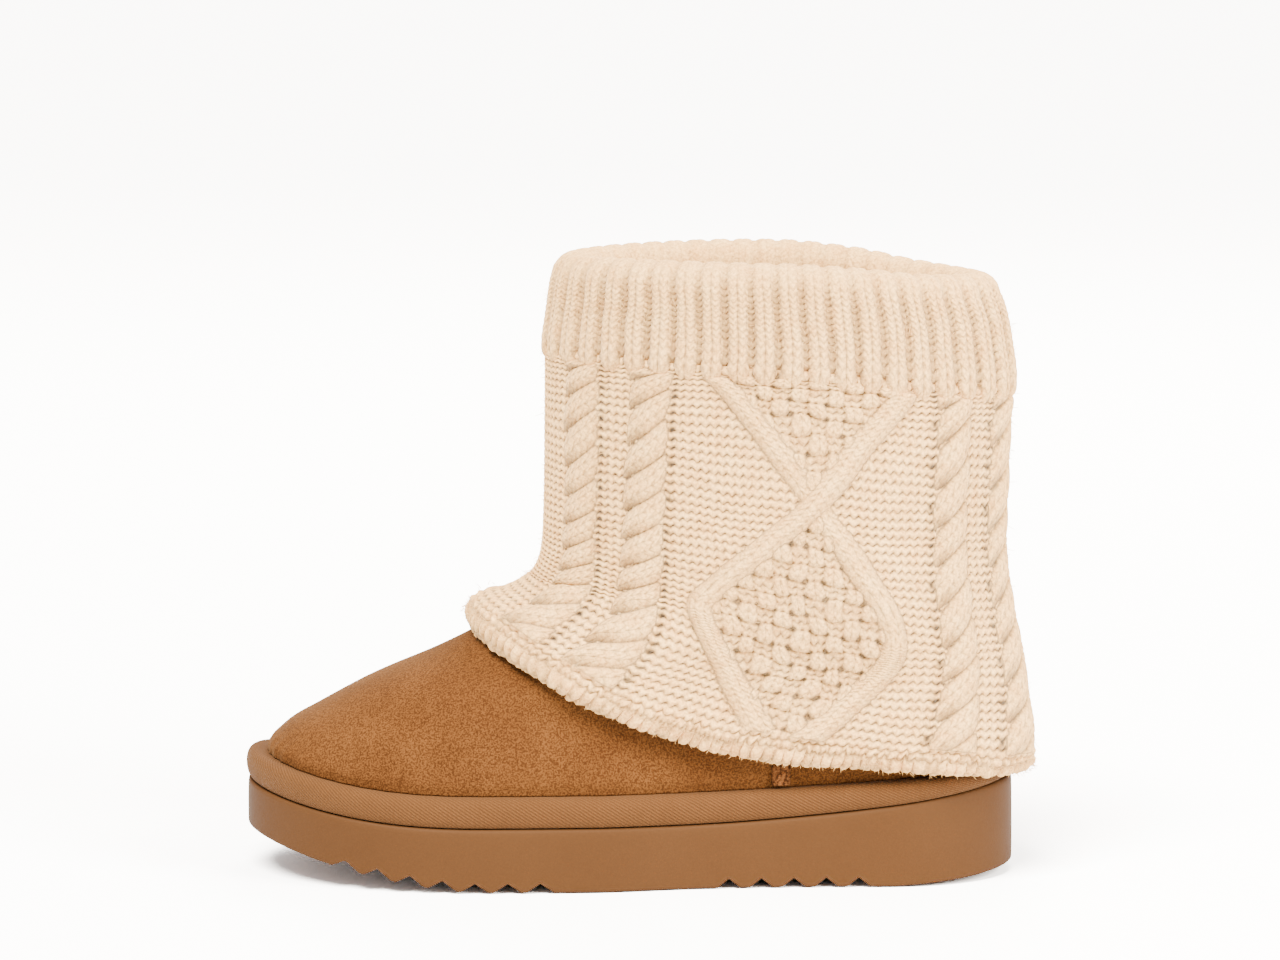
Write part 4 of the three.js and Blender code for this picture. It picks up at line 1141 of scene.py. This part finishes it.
# Painted shade: the colour goes to the hollow shade where the twill lies low.
tree.links.new(hollow_shaded(tree, base, TAPE_HOLLOW_SHADE, twill, 0.55), shader.inputs["Base Color"])
threads = grained(tree, place, 1500.0, 3500.0, 0.4)
total = maths(tree, "ADD", maths(tree, "MULTIPLY", threads, 0.4), twill)
bump(tree, shader, total, 0.7, 0.0004)

# %% The wrapped platform
ends = along_of(np.linspace(0, PI, 181))
angles = mirror_angles(ends)
TAPE_ROWS = [  # inset from the outline, share of the band's height
    (7.0, 0.0), (3.0, 0.0), (1.5, 0.012), (0.8, 0.05), (0.25, 0.12), (-0.15, 0.22), (-0.4, 0.34),
    (-0.5, 0.5), (-0.38, 0.62), (-0.1, 0.73), (0.35, 0.82), (1.0, 0.895), (1.8, 0.95), (2.8, 0.985),
    (4.0, 1.0), (8.0, 1.0),
]


def sole_rings(table, height, angles):
    """Rings up the side of a sole. Each row of the table gives an inset from the outline, and a number
    that the height function turns into a height at each share of the length."""
    rings = []
    for inset, up in table:
        x, y = sole_outline(angles, inset)
        rings.append(np.stack([x, y, height(share_at(x), up)], -1))
    return np.stack(rings)


def band_height(share, up):
    """A share of the way from a gap over the outsole to the band's top."""
    return mix(outsole_top(share) + GAP, band_top(share), up)


def closed_sole(name, rings, **more):
    """Rings joined to a side, and closed with rungs across underneath and on top."""
    rows, cols = rings.shape[:2]
    below, below_tips = lid_quads(0, cols, False)
    above, above_tips = lid_quads((rows - 1) * cols, cols, True)
    quads = np.concatenate([grid_quads(rows, cols, wrap_cols=True), below, above])
    return make_piece(name, rings, quads, below_tips + above_tips, **more)


rings = sole_rings(TAPE_ROWS, band_height, angles)
middle_ring = rings[7]
run = np.linalg.norm(np.diff(middle_ring, axis=0, append=middle_ring[:1]), axis=-1)
length = np.concatenate([[0], np.cumsum(run)[:-1]])
up = np.concatenate([[0], np.cumsum(np.linalg.norm(np.diff(rings[:, 90], axis=0), axis=-1))])
uv = np.stack([length[None, :] + 0 * up[:, None], up[:, None] + 0 * length[None, :]], -1)
print("the tape is", run.sum().round(1), "mm long and", up[-1].round(1), "mm wide, edges turned in")
band = closed_sole("platform_tape", rings, uv=uv, around=run.sum())
band.data.materials.append(tape)
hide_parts("midsole")

# %% [markdown]
# Outsole: moulded foam, smooth and matt with very fine pores. Its notches could be cut with a boolean,
# which leaves ragged faces on a curved edge. Here they are one depth function along the length:
# wherever the side would lie below that depth, it is lifted to it, which cuts each notch clean
# through the rounded lower edge.

# %% Foam material
FOAM_LIGHT, FOAM_DARK, PORE = (0.058, 0.0240, 0.0070), (0.050, 0.0202, 0.0056), (0.86, 0.84, 0.82)
foam, tree, shader, place = finish("moulded foam", 0.65, 0.08)
base = mottled(tree, place, FOAM_LIGHT, FOAM_DARK, 30.0, 1.3)
pores = mottled(tree, place, WHITE, PORE, 1400.0, 2.0)
tree.links.new(blend_colour(tree, base, pores, 0.8, "MULTIPLY"), shader.inputs["Base Color"])
bump(tree, shader, grained(tree, place, 1200.0, 4000.0, 0.5), 0.25, 0.0002)

# %% The outsole
pitch = LUG_PITCH / SOLE_LENGTH
notches = np.concatenate([FRONT_LUG + pitch * np.arange(FRONT_LUGS), REAR_LUG + pitch * np.arange(REAR_LUGS)])
notch_half = np.array([LUG_NOTCH + 1.4] * FRONT_LUGS + [LUG_NOTCH - 0.4] * REAR_LUGS) / 2 / SOLE_LENGTH


def notch_depth(share):
    """Rows of V notches: full depth at each notch's middle, falling evenly to none at its half-width.
    They are cut a little deeper than in the solid."""
    away = (np.abs(share[..., None] - notches) / notch_half).min(-1)
    return (LUG_DEPTH + 0.5) * np.clip(1 - away, 0, 1)


fine_notches = (notches[:, None] + np.linspace(-1, 1, 13) * notch_half[:, None]).ravel()
alongs = np.unique(np.concatenate([along_of(np.linspace(0, PI, 201)), fine_notches]))
alongs = alongs[np.concatenate([[True], np.diff(alongs) > 2e-5])]
alongs[-1] = 1.0
angles = mirror_angles(alongs)
SIDE_TALL = 5.0  # how far up the foam's side its lower rows reach
SIDE_ROWS = [  # inset, height over the sole's underside
    (9.0, 0.0), (0.8, 0.0), (0.4, 0.05), (0.18, 0.15), (0.06, 0.35), (0.0, 0.8), (0.0, 1.8),
    (0.0, 3.4), (0.0, SIDE_TALL),
]
TOP_ROWS = [  # inset, share of the height left
    (0.0, 0.3), (0.05, 0.5), (0.1, 0.7), (0.18, 0.85), (0.3, 0.93), (0.6, 0.975), (1.1, 1.0), (5.0, 1.0),
]


def side_height(share, tall):
    """A height over the underside, or the notch's depth where that is more."""
    return ground_z(share) + np.maximum(tall, notch_depth(share))


def top_height(share, up):
    """A share of the way from the top of the side's rows to the foam's upper edge."""
    return mix(ground_z(share) + SIDE_TALL, outsole_top(share), up)


print(len(notches), "notches at", (notches * SOLE_LENGTH).round(0), "mm from the toe's tip")
rings = [sole_rings(SIDE_ROWS, side_height, angles), sole_rings(TOP_ROWS, top_height, angles)]
outsole = closed_sole("outsole_foam", np.concatenate(rings))
outsole.data.materials.append(foam)
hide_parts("outsole")

# %% [markdown]
# Side seams: a narrow strip of suede over the joint of vamp and back, crossed by its stitches. A
# curve with a bevel could make it, but it would float over the bends of the upper. It is a half-round
# bar carried up the upper's own surface, whose height swells between one stitch and the next.

# %% Side seams
BEAD_WIDTH, BEAD_HEIGHT, SEAM_STITCH = 6.6, 1.9, 3.0
SEAM_RUN = ANKLE_HEIGHT - 35  # about the millimetres of seam from the platform to the ankle
seam_finish, tree, shader, place = finish("seam strip", 0.9, 0.05)
SEAM_LIGHT, SEAM_DARK = (0.140, 0.053, 0.0160), (0.030, 0.0100, 0.0030)
tree.links.new(mottled(tree, place, SEAM_LIGHT, SEAM_DARK, 850.0, 4.5), shader.inputs["Base Color"])
bump(tree, shader, grained(tree, place, 480.0, 1800.0, 0.5), 1.0, 0.0015)


def side_seam(name, sign, node_name):
    """A closed half-round bar: across it an arc, along it the rise. Its height is the arc times a
    power of a sine of the length, which dips once in each stitch."""
    rises = np.linspace(0.01, 1.9, 260)
    turn = np.linspace(0, PI, 15)
    x = x_at(SEAM) + np.concatenate([-0.5 * np.cos(turn), [0.25, -0.25]])[None, :] * BEAD_WIDTH
    arc = np.concatenate([np.sin(turn) ** 0.7, [0, 0]])
    r = rises[:, None] + 0 * x
    on_ring = np.clip((x - front_x(r)) / (back_x(r) - front_x(r)), 0, 1)
    angle = np.arccos(1 - 2 * on_ring)
    angle = angle if sign < 0 else 2 * PI - angle
    slant = (x - x_at(SEAM)) / BEAD_WIDTH
    count = r * SEAM_RUN / SEAM_STITCH + 0.6 * np.abs(slant)
    stitches = 0.5 + 0.5 * np.abs(np.sin(PI * count)) ** 0.7
    points = off_upper(angle, r, GAP + BEAD_HEIGHT * arc[None, :] * stitches)
    rows, cols = points.shape[:2]
    quads = grid_quads(rows, cols, wrap_cols=True)
    lids = [np.arange(cols)[::-1], np.arange(cols) + (rows - 1) * cols]
    if sign > 0:
        quads, lids = quads[:, ::-1], [lid[::-1] for lid in lids]
    piece = make_piece(name, points, quads, lids)
    piece.data.materials.append(seam_finish)
    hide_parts(node_name)


side_seam("seam_strip_outer", -1, "side_seam_outer")
side_seam("seam_strip_inner", 1, "side_seam_inner")

# %% [markdown]
# Loose fibres. Brushed yarn has a haze of short fibres that catches the light at its edges, most of
# all at the hem. Hair particles would make them, but they are no mesh until they are converted. So
# each is a bent three-sided thread with few faces, and all of them are one mesh. Their roots are
# places on the cuff, drawn from a generator with a fixed seed.

# %% Loose fibres
rng = np.random.default_rng(7)
COUNT, HEM_SHARE = 6000, 0.45
RINGS, SIDES, THREAD = 4, 3, 0.1  # a thread's rings, its sides, and its radius at the root
at_hem = rng.random(COUNT) < HEM_SHARE
c = rng.uniform(0, AROUND, COUNT)
row = np.where(at_hem, rng.uniform(0.0, HEM_LIP, COUNT), rng.uniform(0.0, 1.9, COUNT))
angle = stitch_angle(c)
root = cuff_point(angle, row, np.full(COUNT, KNIT_THICK + 0.3))
out = unit(root - cuff_point(angle, row, np.full(COUNT, KNIT_THICK - 1.0)))
drift = unit(rng.normal(size=(COUNT, 3)) + out * 0.6 - np.array([0, 0, 0.9]) * at_hem[:, None])
long = (rng.uniform(1.0, 3.4, COUNT) * np.where(at_hem, 0.55, 1.0))[:, None]
bend = unit(rng.normal(size=(COUNT, 3))) * long * 0.3
ways = np.array([0.0, 0.35, 0.7, 1.0])
straight = root[:, None] + drift[:, None] * long[:, None] * ways[:, None]
line = straight + bend[:, None] * ways[:, None] ** 2
side_a = unit(np.cross(drift, out + 0.01))
side_b = unit(np.cross(drift, side_a))
thin = THREAD * np.array([1.0, 0.9, 0.7, 0.3])
corner = np.arange(SIDES) * 2 * PI / SIDES
section = side_a[:, None] * np.cos(corner)[None, :, None] + side_b[:, None] * np.sin(corner)[None, :, None]
points = line[:, :, None] + section[:, None] * thin[None, :, None, None]
starts = np.arange(COUNT)[:, None, None] * RINGS * SIDES
quads = (starts + grid_quads(RINGS, SIDES, wrap_cols=True)[None]).reshape(-1, 4)
lids = (starts + np.array([[2, 1, 0], [9, 10, 11]])).reshape(-1, 3)
print("fibres are", long.min().round(2), "to", long.max().round(2), "mm long,", at_hem.sum(), "at the hem")
haze = make_piece("knit_fibres", points, quads, list(lids), fields={"unshaded": np.ones(COUNT * RINGS * SIDES)})
haze.data.materials.append(knit_finish)

# %% [markdown]
# The stage. The boot stands on a plain pale floor in soft light. A studio has lamps with large
# shades, which area lamps would copy, but one near lamp lights the floor unevenly. So the main light
# is a broad sun over the toe's side. A weak lamp from the heel and one from behind soften its
# shadows, and an even pale sky fills them.

# %% Floor, lamps and sky
FLOOR_BOOST, SKY_BOOST, SKY_LIGHT = 2.2, 16.0, 0.95  # the first two are for what the camera sees alone
LAMP_COLOUR, SUN_BREADTH, LAMP_SIZE = (1.0, 0.94, 0.85), 0.55, 1.0
bpy.ops.mesh.primitive_plane_add(size=30.0, location=(0, 8.0, -0.0004))
floor = bpy.context.object
floor.name = "floor"
floor_finish, tree, shader, place = finish("pale floor", 0.9, 0.1)
paper = mottled(tree, place, (0.90, 0.91, 0.93), (0.88, 0.89, 0.91), 3.0, 1.0)
seen = node(tree, "ShaderNodeLightPath").outputs["Is Camera Ray"]
bright = node(tree, "ShaderNodeVectorMath", {0: paper, "Scale": FLOOR_BOOST}, operation="SCALE").outputs[0]
tree.links.new(blend_colour(tree, paper, bright, seen), shader.inputs["Base Color"])
floor.data.materials.append(floor_finish)


def lamp(name, kind, place, power):
    """A warm lamp at a place, turned to the boot's middle."""
    light = bpy.data.lights.new(name, kind)
    light.energy = power
    light.color = LAMP_COLOUR
    if kind == "SUN":
        light.angle = SUN_BREADTH
    else:
        light.size = LAMP_SIZE
    holder = bpy.data.objects.new(name, light)
    bpy.context.scene.collection.objects.link(holder)
    holder.location = place
    holder.rotation_euler = (Vector((0, 0, 0.1)) - Vector(place)).to_track_quat("-Z", "Y").to_euler()
    print(name, "lamp:", kind.lower(), "of", power)


lamp("key", "SUN", (-0.45, -1.05, 2.05), 16.5)
lamp("side", "AREA", (1.5, -1.0, 1.0), 120.0)
lamp("back", "AREA", (0.3, 1.6, 1.5), 60.0)
sky = bpy.data.worlds.new("sky")
bpy.context.scene.world = sky
sky.use_nodes = True
glow = sky.node_tree.nodes["Background"].inputs
glow["Color"].default_value = (1.0, 1.0, 1.0, 1)
seen = node(sky.node_tree, "ShaderNodeLightPath").outputs["Is Camera Ray"]
strength = maths(sky.node_tree, "ADD", maths(sky.node_tree, "MULTIPLY", seen, SKY_BOOST), SKY_LIGHT)
sky.node_tree.links.new(strength, glow["Strength"])

# %% [markdown]
# The camera. It could be moved by eye until the render looks right, but then size and distance would
# be mixed up. The photograph's perspective was worked out from the boot's own lines instead: a long
# lens 2.2 m away, looking slightly down at the outer side.

# %% Camera
STANDS_AT, LOOKS_AT = (3.69, -2180.67, 428.10), (3.69, 0.0, 137.13)  # from the sole's middle
SENSOR, LENS = 36.0, 176.28  # width and focal length, in millimetres
camera_data = bpy.data.cameras.new("camera")
camera_data.sensor_width = SENSOR
camera_data.lens = LENS
camera = bpy.data.objects.new("camera", camera_data)
bpy.context.scene.collection.objects.link(camera)
camera.location = (Vector(STANDS_AT) + Vector(SHIFT)) * MM
sight = (Vector(LOOKS_AT) + Vector(SHIFT)) * MM - camera.location
camera.rotation_euler = sight.to_track_quat("-Z", "Y").to_euler()
bpy.context.scene.camera = camera
tilt = np.degrees(np.arcsin(-sight.z / sight.length))
print("the camera is", round(sight.length, 3), "m away and looks", round(float(tilt), 2), "degrees down")
